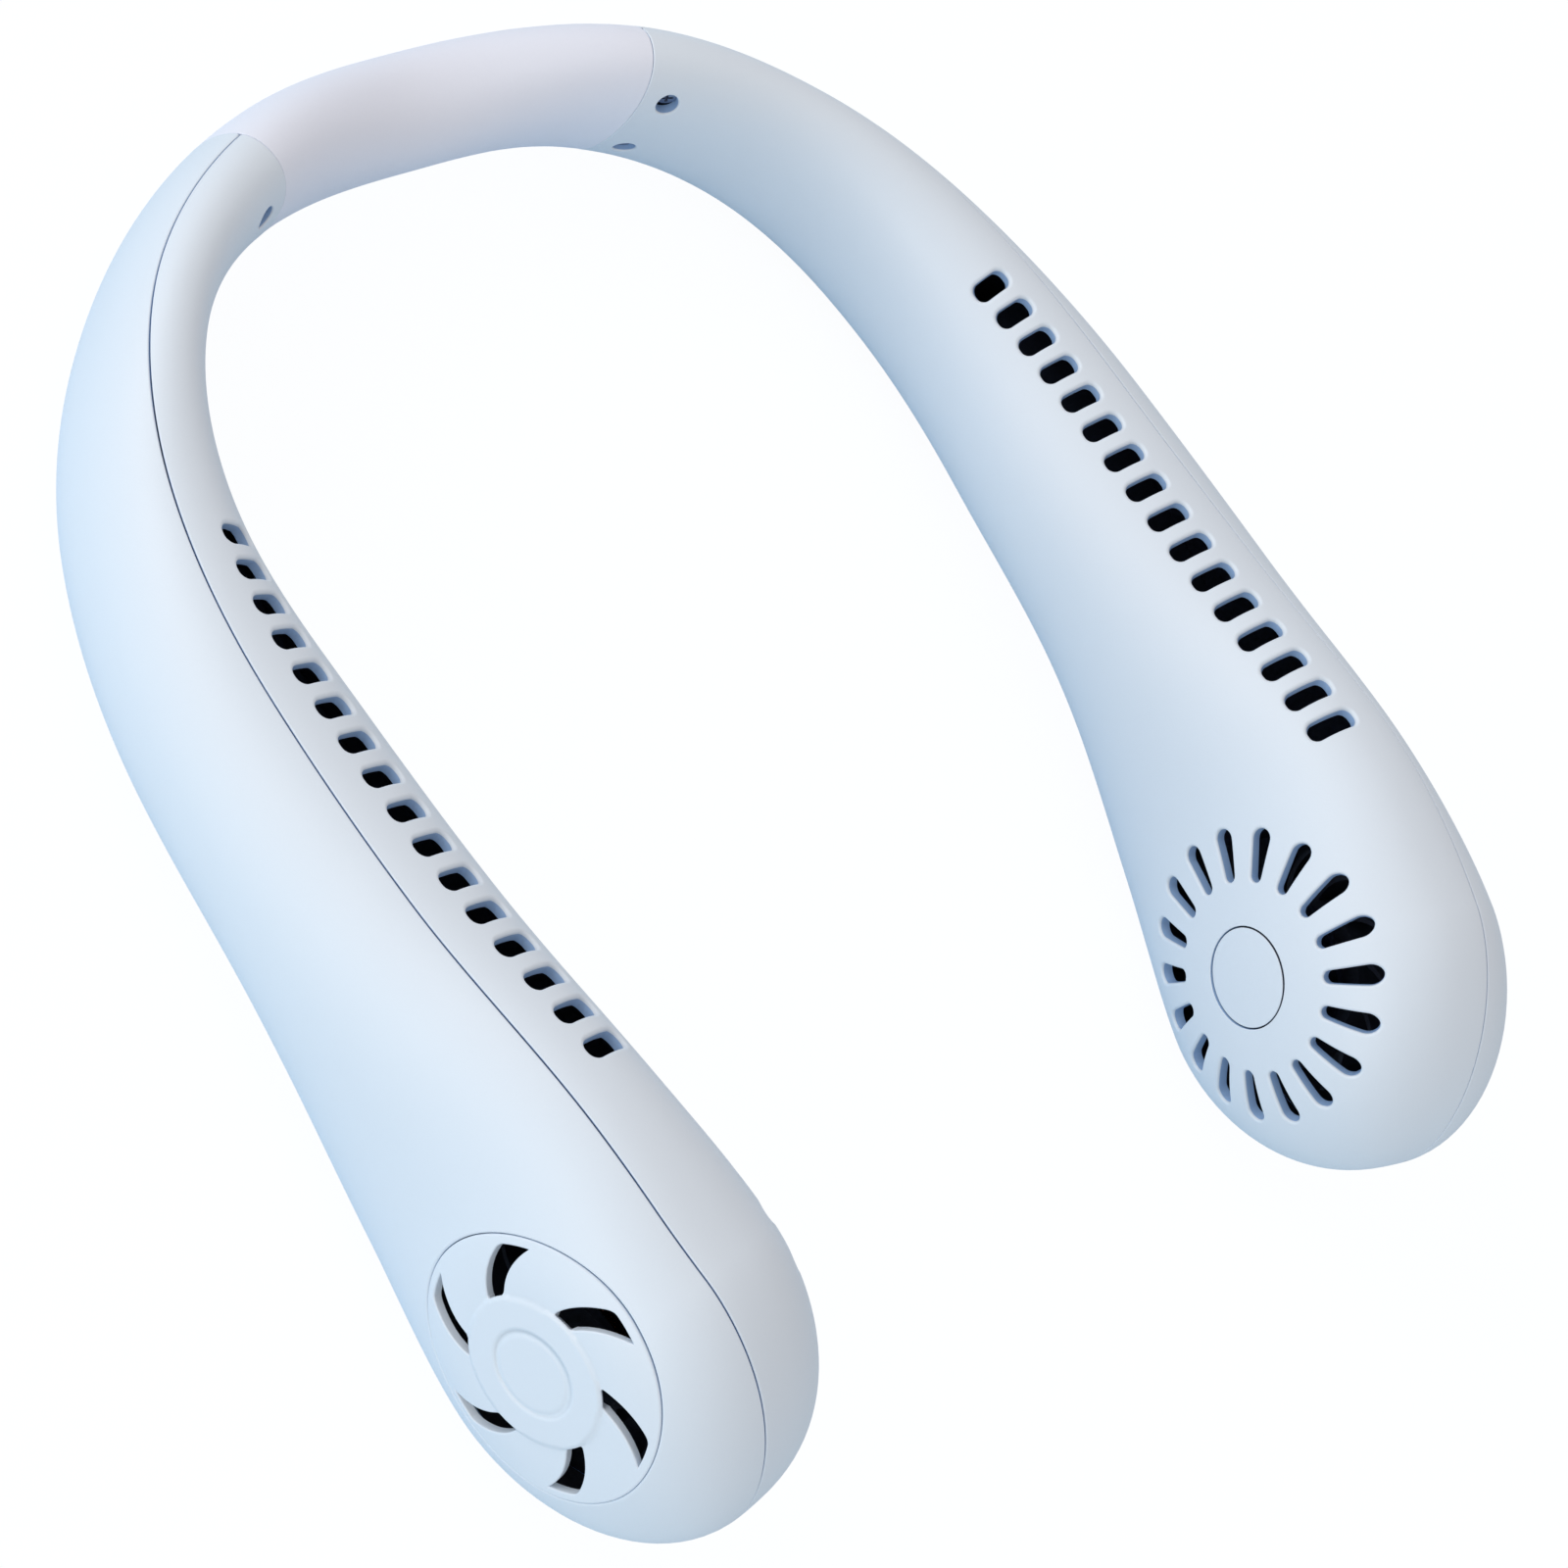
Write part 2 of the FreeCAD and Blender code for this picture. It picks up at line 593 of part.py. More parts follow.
nub = pin("button_nub", "nub_radius", "flange_low", "nub_high")
keep(joined("MultiFuse", "button", nub, *crowned_disc("button")), "power_button", POD)
cap_twin = joined("MultiFuse", "cap", *crowned_disc("cap"))
cap_twin.Placement = POD
mirrored(cap_twin, "left_disc_cap")
switch = bound(
    "Box", "switch", ("-Sizes.switch_side / 2", "-Sizes.switch_side / 2", "Sizes.switch_low"),
    Length="Sizes.switch_side", Width="Sizes.switch_side", Height="Sizes.switch_high",
)
switch_plate = pin("switch_plate", "board_radius", "board_low", "board_high")
keep(joined("MultiFuse", "switch_set", switch_plate, switch), "switch_board", POD)

# Air duct wall between the slots and the cell, and the cell under it
duct_low = size("duct_low")
slab = side_strip(size("duct_to"), size("duct_from"), -30, 30, duct_low, duct_low + size("duct_thick"))
duct = form(size("duct_to") + 6, -8, wall + gap, 6).common(slab)
duct = duct.cut(in_pod(rod(collar_r + 3.2, -30, 30)))
both("duct_wall", duct)
cell_x, cell_y, cell_nx, cell_ny = plan_at(size("cell_at"))
CELL = FreeCAD.Placement(
    V(cell_x, cell_y, size("cell_level")), FreeCAD.Rotation(V(0, 0, 1), V(cell_ny, -cell_nx, 0))
)
cell_can = bound(
    "Cylinder", "cell_can", ("0", "0", "-Sizes.cell_length / 2"), Radius="Sizes.cell_radius", Height="Sizes.cell_length"
)
cell_pole = bound(
    "Cylinder", "cell_pole", ("0", "0", "-Sizes.cell_length / 2 - 1.2"), Radius="0.35 * Sizes.cell_radius", Height="2"
)
mirrored(keep(joined("MultiFuse", "cell", cell_can, cell_pole), "right_battery_cell", CELL), "left_battery_cell")

# Control board and charging socket in the right arm
PCB = FreeCAD.Placement(V(port_x, port_y, size("pcb_low")), port_spot.Rotation)
plate = bound(
    "Box", "pcb_plate", ("-Sizes.pcb_long / 2", "Sizes.port_thick / 2", "0"),
    Length="Sizes.pcb_long", Width="Sizes.pcb_thick", Height="Sizes.pcb_high",
)
chip = bound(
    "Box", "pcb_chip", ("-0.4 * Sizes.pcb_long", "Sizes.port_thick / 2 + Sizes.pcb_thick", "5"),
    Length="6", Width="1.4", Height="6",
)
keep(joined("MultiFuse", "pcb", plate, chip), "control_board", PCB)
socket_low = 0.9
socket = oblong(size("port_wide"), size("port_thick"), socket_low, socket_low + size("port_deep"))
well = oblong(size("port_wide") - 0.7, size("port_thick") - 0.7, socket_low - 1, socket_low + 5.6)
tongue = Part.makeBox(6.6, 0.7, 5.0, V(-3.3, -0.35, socket_low + 1.0))
tongue.Placement = port_spot
add("charging_socket", socket.cut(well).fuse(tongue))

# Soft band in two halves, each with a pocket for the plug that anchors it, and the core and wire that run through
core_low, core_high = size("core_low"), size("core_high")
channel = side_strip(
    joint - size("plug_length") - 2, ARM_RUN + 4, -size("core_thick") / 2 - gap, size("wire_side") + size("wire_thick") + gap,
    core_low - gap, core_high + gap,
)
sleeve = form(joint + 0.3, ARM_RUN, size("band_step"), 6)
neck = form(joint - 1, joint + size("neck_length"), size("neck_inset"), 4)
neck_room = form(joint - 1, joint + size("neck_length") + gap, size("neck_inset") - gap, 4)
half_trim = Part.makeBox(size("half_gap"), 2 * beyond, 2 * beyond, V(-size("half_gap") / 2, -beyond, -beyond))
both("band_sleeve", sleeve.cut([neck_room, channel, half_trim]))
plug = form(joint - size("plug_length"), joint - 0.2, wall + size("plug_gap"), 4).fuse(neck).cut(channel)
screws = []
for centre, out in screw_seats():
    seat = centre - out * (size("screw_sunk") + size("screw_head_high"))
    shank = Part.makeCylinder(size("screw_shank"), size("screw_long"), seat - out * size("screw_long"), out)
    head = Part.makeCylinder(size("screw_head"), size("screw_head_high"), seat, out)
    plug = plug.cut([shank, Part.makeCylinder(size("screw_head") + 0.2, 8, seat, out)])
    cross = Part.makeBox(2.0, 0.45, 0.8, V(-1.0, -0.225, 0))
    cross = cross.fuse(Part.makeBox(0.45, 2.0, 0.8, V(-0.225, -1.0, 0)))
    cross.Placement = FreeCAD.Placement(
        seat + out * (size("screw_head_high") - 0.8), FreeCAD.Rotation(V(0, 0, 1), out)
    )
    screws.append(head.fuse(shank).cut(cross))
both("band_plug", plug)
both("band_screws", Part.makeCompound(screws))


def across_band(inner, outer, low, high):
    half = side_strip(joint - size("plug_length"), ARM_RUN, inner, outer, low, high)
    return half.fuse(half.mirror(V(0, 0, 0), V(1, 0, 0)))


add("band_core", across_band(-size("core_thick") / 2, size("core_thick") / 2, core_low, core_high))
add("band_wire", across_band(
    size("wire_side"), size("wire_side") + size("wire_thick"), size("wire_low"), size("wire_high")
))

# Write every piece
doc.recompute()
os.makedirs("parts", exist_ok=True)
for node in PIECES:
    if node.Shape.isNull() or not node.Shape.isValid() or "Invalid" in node.State:
        raise RuntimeError("bad shape: " + node.Label)
    print(node.Label, len(node.Shape.Solids), round(node.Shape.Volume, 1))
    node.Shape.exportStep("parts/%s.step" % node.Label)
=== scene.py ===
# %% [markdown]
# # Electric neck fan
# A neck fan is a soft band behind the neck with a hollow arm on each side. Every arm ends in a round pod
# with a small fan in it, and blows through a row of slots on its upper edge. The frame brings the solid
# pieces, already in place; this lesson gives the pieces in sight rounded edges, and every piece its finish.

# %% Load the frame
import bpy
import math
import numpy as np
from mathutils import Matrix


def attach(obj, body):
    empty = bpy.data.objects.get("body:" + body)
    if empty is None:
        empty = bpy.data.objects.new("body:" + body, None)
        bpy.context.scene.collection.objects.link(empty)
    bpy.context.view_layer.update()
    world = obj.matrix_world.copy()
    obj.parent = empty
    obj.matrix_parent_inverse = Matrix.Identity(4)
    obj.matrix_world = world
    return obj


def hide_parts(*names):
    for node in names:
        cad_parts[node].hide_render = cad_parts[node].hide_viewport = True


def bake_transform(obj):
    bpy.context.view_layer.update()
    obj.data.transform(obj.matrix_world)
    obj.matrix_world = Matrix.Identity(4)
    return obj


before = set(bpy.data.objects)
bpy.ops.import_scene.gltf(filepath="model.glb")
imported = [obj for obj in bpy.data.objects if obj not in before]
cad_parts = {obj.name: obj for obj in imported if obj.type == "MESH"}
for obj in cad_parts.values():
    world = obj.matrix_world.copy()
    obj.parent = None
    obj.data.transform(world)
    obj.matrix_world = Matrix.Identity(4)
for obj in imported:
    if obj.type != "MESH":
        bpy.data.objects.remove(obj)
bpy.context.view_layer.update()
print("pieces in the frame:", len(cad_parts))

# %% [markdown]
# ## The line that the arms follow
# Seen from above, the fan is a rounded U. A superellipse gives the half behind the neck, and a gentle bow
# the straight part to the pod. One table of points with its running length is enough to place any section
# of the arm, and the same rule serves both arms and the band, so their skins meet without a step. Lengths
# are in millimetres, measured from the middle of the pod towards the band.

# %% Centre line of the U
REACH, DEPTH, ROUNDNESS, BOW_RADIUS = 80.1, 83.2, 2.41, 597.0
BACK_Y, POD_Y, TIP, WALL = 14.56, -75.84, 29.85, 1.8
BAND_HALF, PAST_POD = 37.3, 45
turn = math.pi / 2 * (1 - np.arange(721) / 720)
drop = np.arange(1, 400) * (BACK_Y - POD_Y + PAST_POD) / 399
line_x = np.r_[REACH * np.maximum(np.cos(turn), 0) ** (2 / ROUNDNESS), REACH - drop ** 2 / (2 * BOW_RADIUS)]
line_y = np.r_[BACK_Y + DEPTH * np.sin(turn) ** (2 / ROUNDNESS), BACK_Y - drop]
run = np.r_[0, np.cumsum(np.hypot(np.diff(line_x), np.diff(line_y)))]
way_x, way_y = np.gradient(line_x, run), np.gradient(line_y, run)
way_x[0], way_y[0] = 1, 0
ARM = float(np.interp(-POD_Y, -line_y, run))
JOINT = ARM - BAND_HALF


def centre_line(length):
    """Point and outward direction of the line; past the band's middle it carries on into the left arm."""
    place = ARM - length
    side = np.where(place < 0, -1.0, 1.0)
    place = np.abs(place)
    x, y = np.interp(place, run, line_x), np.interp(place, run, line_y)
    nx, ny = -np.interp(place, run, way_y), np.interp(place, run, way_x)
    norm = np.hypot(nx, ny)
    return x * side, y, nx / norm * side, ny / norm


print("one arm with its half of the band is %.1f mm long" % ARM)

# %% [markdown]
# ## The skin of an arm
# The moulded skin is a rounded, slightly boxy section that swells into the pod. Its heights and half
# thickness are read from smooth curves along the arm. A formula is chosen over a sculpted mesh because any
# point, direction or depth can then be asked for exactly, which the cut-outs below need.

# %% Sections of the arm
STATIONS = np.array([0, 0.12, 0.27, 0.42, 0.56, 0.70, 0.84, 1])
TOPS = np.array([58.7, 56.8, 45.8, 37.5, 32.7, 30.4, 28.4, 21.4])
LOWS = np.array([0.5, 0.9, 5.1, 3.0, 0.6, 0.9, 2.2, 4.8])
HALVES = np.array([19.1, 16.0, 15.6, 14.3, 10.1, 6.9, 7.6, 8.6])
TIP_TALL_POWER, TIP_WIDE_POWER = 1.74, 2.58


def smooth(knots, values, at):
    """Cubic through the values, level at both ends."""
    knots, values = np.asarray(knots, float), np.asarray(values, float)
    at = np.clip(at, knots[0], knots[-1])
    slopes = np.zeros(len(knots))
    slopes[1:-1] = (values[2:] - values[:-2]) / (knots[2:] - knots[:-2])
    i = np.clip(np.searchsorted(knots, at, "right") - 1, 0, len(knots) - 2)
    span = knots[i + 1] - knots[i]
    t = (at - knots[i]) / span
    return (
        values[i] * (1 + 2 * t) * (1 - t) ** 2 + slopes[i] * span * t * (1 - t) ** 2
        + values[i + 1] * t * t * (3 - 2 * t) + slopes[i + 1] * span * t * t * (t - 1)
    )


def section(length, inset=0.0):
    """Half thickness, waist level, height above and below it and squareness."""
    share = np.clip(-length / (TIP - inset), 0, 1)
    along = np.minimum(length, 2 * ARM - length) / ARM
    top, low = smooth(STATIONS, TOPS, along), smooth(STATIONS, LOWS, along)
    tall = ((top - low) / 2 - inset) * (1 - share ** TIP_TALL_POWER) ** (1 / TIP_TALL_POWER)
    half = (smooth(STATIONS, HALVES, along) - inset) * (1 - share ** TIP_WIDE_POWER) ** (1 / TIP_WIDE_POWER)
    lift = smooth((0, 0.12, 0.42, 1), (0, 0.05, 0.16, 0), along)
    square = smooth((0, 0.25, 0.7, 1), (2.37, 2.13, 2.15, 2.2), along)
    return half, (top + low) / 2 + lift * tall, tall * (1 - lift), tall * (1 + lift), square


def skin(length, angle, inset=0.0):
    """Points of the skin and how far each lies to the outer side of the line."""
    half, waist, above, below, square = section(length, inset)
    x, y, nx, ny = centre_line(length)
    c, s = np.cos(angle), np.sin(angle)
    side = half * np.sign(c) * np.abs(c) ** (2 / square)
    rise = np.where(s > 0, above, below) * np.sign(s) * np.abs(s) ** (2 / square)
    return np.stack([x + side * nx, y + side * ny, waist + rise], -1), side


def parting(length):
    """Where the two shells of an arm meet, to the outer side of the line."""
    return smooth((-TIP / ARM, 0.05, 0.5, 0.83), (3.0, 5.4, 3.6, 4.6), length / ARM)


print("pod %.1f mm tall, band %.1f mm" % (TOPS[0] - LOWS[0], TOPS[-1] - LOWS[-1]))

# %% [markdown]
# ## Sheets with rolled edges
# Slots in moulded plastic have soft rims: the surface rolls over a small radius and drops into the wall. A
# boolean cut followed by a bevel often fails on a curved skin, so here the edge is built in. A field tells
# how far a point is from the nearest edge. Cells of the surface are divided where an edge runs, clipped
# along it, and a rounded rim and an inner face are added, which makes a closed sheet of even thickness.

# %% Cells that get small near an edge
def divided_cells(surface, field, across, around, coarse, fine):
    size = coarse
    starts = np.meshgrid(np.arange(0, across, size), np.arange(0, around, size), indexing="ij")
    i, j = [v.ravel() for v in starts]
    leaves = []
    while len(i):
        corners = [surface(i + a * size, j + b * size) for a, b in ((0, 0), (1, 1), (1, 0), (0, 1))]
        reach = np.maximum(*[np.linalg.norm(corners[k] - corners[k + 1], axis=1) for k in (0, 2)])
        level = np.abs(field(i + size / 2, j + size / 2)[0])
        split = (level < 0.85 * reach) & (reach > 1.5 * fine) & (size > 1)
        leaves += [(a, b, size) for a, b in zip(i[~split].tolist(), j[~split].tolist())]
        i, j = i[split], j[split]
        size //= 2
        i, j = [np.concatenate(v) for v in ((i, i + size, i, i + size), (j, j, j + size, j + size))]
    return leaves


def cell_outlines(leaves, across, around):
    """Every cell as a ring of grid points, with the corners of smaller neighbours on its sides."""
    live = np.zeros((across + 1, around), bool)
    for i, j, size in leaves:
        for a, b in ((0, 0), (size, 0), (0, size), (size, size)):
            live[i + a, (j + b) % around] = True
    live[across] = False
    live[across, 0] = True
    rings = []
    for i, j, size in leaves:
        steps = range(size)
        walk = [(i + k, j) for k in steps] + [(i + size, j + k) for k in steps]
        walk += [(i + size - k, j + size) for k in steps] + [(i, j + size - k) for k in steps]
        ring = []
        for a, b in walk:
            spot = (a, 0 if a == across else b % around)
            if live[spot] and spot not in ring[-1:] and spot != (ring[0] if ring else None):
                ring.append(spot)
        rings.append(ring)
    return rings


print("edge cells are about half a millimetre wide")


# %% Slopes of a surface and its field
def slopes(surface, field, p, q, step=0.2):
    """Directions of the surface along both grid ways and the climb of the field, as vectors in space."""
    ways = [(surface(p + a, q + b) - surface(p - a, q - b)) / (2 * step) for a, b in ((step, 0), (0, step))]
    rise = [(field(p + a, q + b)[0] - field(p - a, q - b)[0]) / (2 * step) for a, b in ((step, 0), (0, step))]
    e, f, g = [np.sum(a * b, 1) for a, b in ((ways[0], ways[0]), (ways[0], ways[1]), (ways[1], ways[1]))]
    spread = np.maximum(e * g - f * f, 1e-9)
    gp, gq = (g * rise[0] - f * rise[1]) / spread, (e * rise[1] - f * rise[0]) / spread
    climb = gp[:, None] * ways[0] + gq[:, None] * ways[1]
    return ways, climb, gp, gq, np.maximum(rise[0] * gp + rise[1] * gq, 1e-9)


def unit(vectors):
    return vectors / np.maximum(np.linalg.norm(vectors, axis=-1, keepdims=True), 1e-12)


def normals(surface, p, q, across, step=0.2):
    at = np.minimum(p, across - 0.5)
    ways = [surface(at + a, q + b) - surface(at - a, q - b) for a, b in ((step, 0), (0, step))]
    return unit(np.cross(ways[1], ways[0]))


print("directions are taken from the formula, not from the faces")


# %% Clip a sheet and roll its edges
RIM_STEPS = (30, 60, 90)


def rolled_sheet(surface, field, across, around, thick, coarse=4, fine=0.5):
    """Vertices, faces, corner normals and face kinds (0 skin and rim, 1 inside, 2 wall) of a closed sheet."""
    rings = cell_outlines(divided_cells(surface, field, across, around, coarse, fine), across, around)
    spots = {spot: k for k, spot in enumerate(sorted({spot for ring in rings for spot in ring}))}
    grid = np.array(list(spots), float)
    p, q = grid[:, 0].copy(), grid[:, 1].copy()
    level = field(p, q)[0]
    near = np.flatnonzero((np.abs(level) < 0.3 * fine) & (p < across - 1))
    for _ in range(3):
        _, _, gp, gq, square = slopes(surface, field, p[near], q[near])
        miss = field(p[near], q[near])[0]
        p[near] -= miss * gp / square
        q[near] -= miss * gq / square
    level[near] = 0
    crossings, faces = {}, []
    count = len(p)
    for ring in rings:
        ids = [spots[spot] for spot in ring]
        signs = [level[v] for v in ids]
        if max(signs) <= 0:
            continue
        if min(signs) >= 0:
            faces.append(ids)
            continue
        kept = []
        for k, v in enumerate(ids):
            w = ids[(k + 1) % len(ids)]
            if level[v] >= 0:
                kept.append(v)
            if level[v] * level[w] < 0:
                kept.append(crossings.setdefault((min(v, w), max(v, w)), count + len(crossings)))
        if len(kept) > 2:
            faces.append(kept)
    pairs = np.array(list(crossings), int).reshape(-1, 2)
    swap = level[pairs[:, 0]] < 0
    pairs[swap] = pairs[swap][:, ::-1]
    a, b = pairs.T
    dq = (q[b] - q[a] + around / 2) % around - around / 2
    dp = p[b] - p[a]
    low, high, at_low, at_high = np.zeros(len(a)), np.ones(len(a)), level[a], level[b]
    for _ in range(6):
        t = low + (high - low) * at_low / (at_low - at_high)
        now = field(p[a] + t * dp, q[a] + t * dq)[0]
        low, at_low = np.where(now > 0, t, low), np.where(now > 0, now, at_low)
        high, at_high = np.where(now > 0, high, t), np.where(now > 0, at_high, now)
    p, q = np.r_[p, p[a] + t * dp], np.r_[q, q[a] + t * dq]
    return close_sheet(surface, field, across, p, q, [face[::-1] for face in faces], thick)


def close_sheet(surface, field, across, p, q, faces, thick):
    edges = {(face[k - 1], v) for face in faces for k, v in enumerate(face)}
    border = [(v, w) for v, w in edges if (w, v) not in edges]
    rim = sorted({v for edge in border for v in edge})
    used = sorted({v for face in faces for v in face})
    skin_points, skin_normals = surface(p, q), normals(surface, p, q, across)
    over = unit(-slopes(surface, field, p[rim], q[rim])[1])
    radius = field(p[rim], q[rim])[1][:, None]
    points, ways = [skin_points[used]], [skin_normals[used]]
    place = {v: k for k, v in enumerate(used)}
    start, rows = len(used), [{v: place[v] for v in rim}]
    for degrees in RIM_STEPS + (None,):
        turn = math.radians(degrees or 90)
        fall = radius * (1 - math.cos(turn)) if degrees else thick
        points.append(skin_points[rim] + over * radius * math.sin(turn) - skin_normals[rim] * fall)
        ways.append(skin_normals[rim] * math.cos(turn) + over * math.sin(turn))
        rows.append({v: start + k for k, v in enumerate(rim)})
        start += len(rim)
    inner = {v: start + k for k, v in enumerate(used)}
    points.append(skin_points[used] - skin_normals[used] * thick)
    ways.append(-skin_normals[used])
    points, ways = np.concatenate(points), np.concatenate(ways)
    polygons = [[place[v] for v in face] for face in faces]
    corner = list(polygons)
    kinds = [0] * len(polygons)
    for before, after in zip(rows, rows[1:]):
        for v, w in border:
            polygons.append([before[w], before[v], after[v], after[w]])
            corner.append(polygons[-1])
            kinds.append(2 if after is rows[-1] else 0)
    bottom = rows[-1]
    for face in faces:
        polygons.append([bottom.get(v, inner[v]) for v in face[::-1]])
        corner.append([inner[v] for v in face[::-1]])
        kinds.append(1)
    return points, polygons, ways[np.concatenate(corner)], kinds


print("rims turn in %d steps" % len(RIM_STEPS))

# %% [markdown]
# ## Finishes
# All colours come from nodes, so that they hold at any distance. A small class wraps a socket: plain Python
# sums on it add Math nodes, and one method adds any other node. Positions are taken from the object itself,
# in metres, so a scale of 4000 means grains of a quarter of a millimetre.


# %% Shader maths
class Wire:
    def __init__(self, socket):
        self.socket = socket

    def node(self, kind, settings=None, out=0, **sockets):
        made = self.socket.id_data.nodes.new(kind)
        for key, value in (settings or {}).items():
            if key == "stops":
                ramp = made.color_ramp.elements
                while len(ramp) < len(value):
                    ramp.new(1)
                for stop, (place, colour) in zip(ramp, value):
                    stop.position, stop.color = place, colour
            else:
                setattr(made, key, value)
        for key, value in sockets.items():
            name = int(key[1:]) if key[1:].isdigit() else key.replace("_", " ")
            if isinstance(value, Wire):
                self.socket.id_data.links.new(value.socket, made.inputs[name])
            else:
                made.inputs[name].default_value = value
        return Wire(made.outputs[out])

    def maths(self, operation, first, second):
        return self.node("ShaderNodeMath", {"operation": operation}, i0=first, i1=second)

    def __add__(self, other):
        return self.maths("ADD", self, other)

    def __radd__(self, other):
        return self.maths("ADD", other, self)

    def __mul__(self, other):
        return self.maths("MULTIPLY", self, other)

    def __rmul__(self, other):
        return self.maths("MULTIPLY", other, self)


def finish(name):
    """The position wire of a new material, and a function that fills its sockets and returns it."""
    material = bpy.data.materials.new(name)
    material.use_nodes = True
    tree = material.node_tree
    surface = tree.nodes["Principled BSDF"]
    spot = Wire(tree.nodes.new("ShaderNodeTexCoord").outputs["Object"])

    def fill(**sockets):
        for key, value in sockets.items():
            target = surface.inputs[key.replace("_", " ")]
            if isinstance(value, Wire):
                tree.links.new(value.socket, target)
            else:
                target.default_value = value
        return material

    return spot, fill


def noise(spot, scale, detail=2.0, rough=0.5):
    return spot.node("ShaderNodeTexNoise", Vector=spot, Scale=scale, Detail=detail, Roughness=rough)


def blend_colours(spot, share, first, second):
    return spot.node("ShaderNodeMix", {"data_type": "RGBA"}, out=2, i0=share, i6=first, i7=second)


def bump(spot, height, strength, distance):
    return spot.node("ShaderNodeBump", Height=height, Strength=strength, Distance=distance)


def rgb(red, green, blue):
    """Colour as seen on a screen, 0 to 255, turned into the linear values that nodes work with."""
    linear = [((v / 255 + 0.055) / 1.055) ** 2.4 if v > 10 else v / 3294.6 for v in (red, green, blue)]
    return (*linear, 1.0)


print("shader helpers ready")


# %% Shell plastic
def moulded(name, light, dark, rough, grain, coat=0.0):
    """Moulded plastic: fine spark-eroded grain, a slow drift of tone and a little unevenness of gloss."""
    spot, fill = finish(name)
    drift = noise(spot, 28, 3)
    speck = noise(spot, 2600, 2)
    tone = blend_colours(spot, drift * 0.7 + speck * 0.3, dark, light)
    height = noise(spot, 4200, 2) * 0.7 + noise(spot, 900, 1) * 0.3
    return fill(
        Base_Color=tone, Roughness=rough - 0.05 + 0.1 * noise(spot, 60, 2) + speck * 0.03, Coat_Weight=coat,
        Coat_Roughness=0.3, Normal=bump(spot, height, grain, 0.00006),
    )


shell_blue = moulded("shell_ice_blue", rgb(219, 230, 241), rgb(214, 225, 237), 0.45, 0.25)
# The walls of the openings get a darker, bluer copy of the shell plastic: painted shade for the dark depth of
# the slots.
wall_painted_shade = moulded("opening_wall_painted_shade", rgb(156, 188, 226), rgb(144, 177, 217), 0.5, 0.3)
# The inside faces are dark navy: painted shade for the depth seen through the openings, not the plastic's own
# colour.
inside_painted_shade = moulded("shell_inside_painted_shade", rgb(50, 58, 78), rgb(40, 47, 65), 0.6, 0.4)
dark_plastic = moulded("dark_moulding", rgb(48, 54, 70), rgb(38, 44, 58), 0.5, 0.4)
band_grey = moulded("band_silicone", rgb(230, 236, 249), rgb(225, 231, 245), 0.62, 0.5)
print("plastics:", shell_blue.name, inside_painted_shade.name, dark_plastic.name, band_grey.name)

# %% [markdown]
# ## The pod's own axes
# The fan sits across the pod, turned in by a few degrees. Grille and button are laid out round that axis,
# and the swirl cover round one that leans with the skin, so that its edge is flush all the way round.

# %% Pod and cover axes
TOE_IN = math.radians(11)
AXIS = np.array([74.0, -74.36, 31.7])
toe_cos, toe_sin = math.cos(TOE_IN), math.sin(TOE_IN)
POD = np.array([[toe_sin, toe_cos, 0], [0, 0, 1], [toe_cos, -toe_sin, 0]]).T
lean = unit(np.array([0.042, 0.057, 1.0]))
cross = np.array([[0, 0, lean[0]], [0, 0, lean[1]], [-lean[0], -lean[1], 0]])
COVER = POD @ (np.eye(3) + cross + cross @ cross / (1 + lean[2]))


def skin_spots(x, y, axes, outer):
    """Lengths and angles where the skin lies over points of a pod frame."""
    length, angle = x + 1.5, np.arcsin(np.clip(y / 30, -0.9, 0.9))
    angle = angle if outer else math.pi - angle

    def miss(length, angle):
        flat = (skin(length, angle)[0] - AXIS) @ axes
        return flat[:, 0] - x, flat[:, 1] - y

    for _ in range(14):
        here, step = miss(length, angle), 1e-4
        more, twist = miss(length + step, angle), miss(length, angle + step)
        a, c = [(more[k] - here[k]) / step for k in (0, 1)]
        b, d = [(twist[k] - here[k]) / step for k in (0, 1)]
        det = a * d - b * c
        length = length - np.clip((d * here[0] - b * here[1]) / det, -3, 3)
        angle = angle - np.clip((a * here[1] - c * here[0]) / det, -0.2, 0.2)
    return length, angle


def heights(radius, degrees, axes, outer):
    turn = np.radians(degrees)
    spots = skin_spots(radius * np.cos(turn), radius * np.sin(turn), axes, outer)
    return ((skin(*spots)[0] - AXIS) @ axes)[:, 2]


print("skin over the cover's edge:", heights(19.5, np.arange(0, 360, 60), COVER, True).round(1))


# %% [markdown]
# ## Edges of the arm's openings
# Slots, grille, button hole, cover seat, screw holes and charging port are simple outlines: rounded boxes,
# tapered bars and circles. Each one is a distance that is negative inside the opening, with the radius of
# its soft rim.

# %% Distances to single openings
def rounded_box(x, y, wide, tall, corner):
    dx, dy = np.abs(x) - wide / 2 + corner, np.abs(y) - tall / 2 + corner
    return np.hypot(np.maximum(dx, 0), np.maximum(dy, 0)) + np.minimum(np.maximum(dx, dy), 0) - corner


def tapered_bar(x, y, start, end, narrow, wide):
    """Bar along x with round ends, of half width narrow at its start and wide at its end."""
    x, y = x - start - narrow, np.abs(y)
    length = end - start - narrow - wide
    lean = (narrow - wide) / length
    flank = math.sqrt(1 - lean * lean)
    along = -lean * y + flank * x
    side = flank * y + lean * x - narrow
    body = np.where(along > flank * length, np.hypot(x - length, y) - wide, side)
    return np.where(along < 0, np.hypot(x, y) - narrow, body)


SLOT_COUNT, SLOT_FIRST, SLOT_PITCH, SLOT_SIDE = 16, 118.1, 5.7, 4.8
SLOT_TALL, SLOT_GROWTH = 6.2, 2.0
SCREW_BACK, SCREW_RISES = 5.0, (7.4, -5.3)


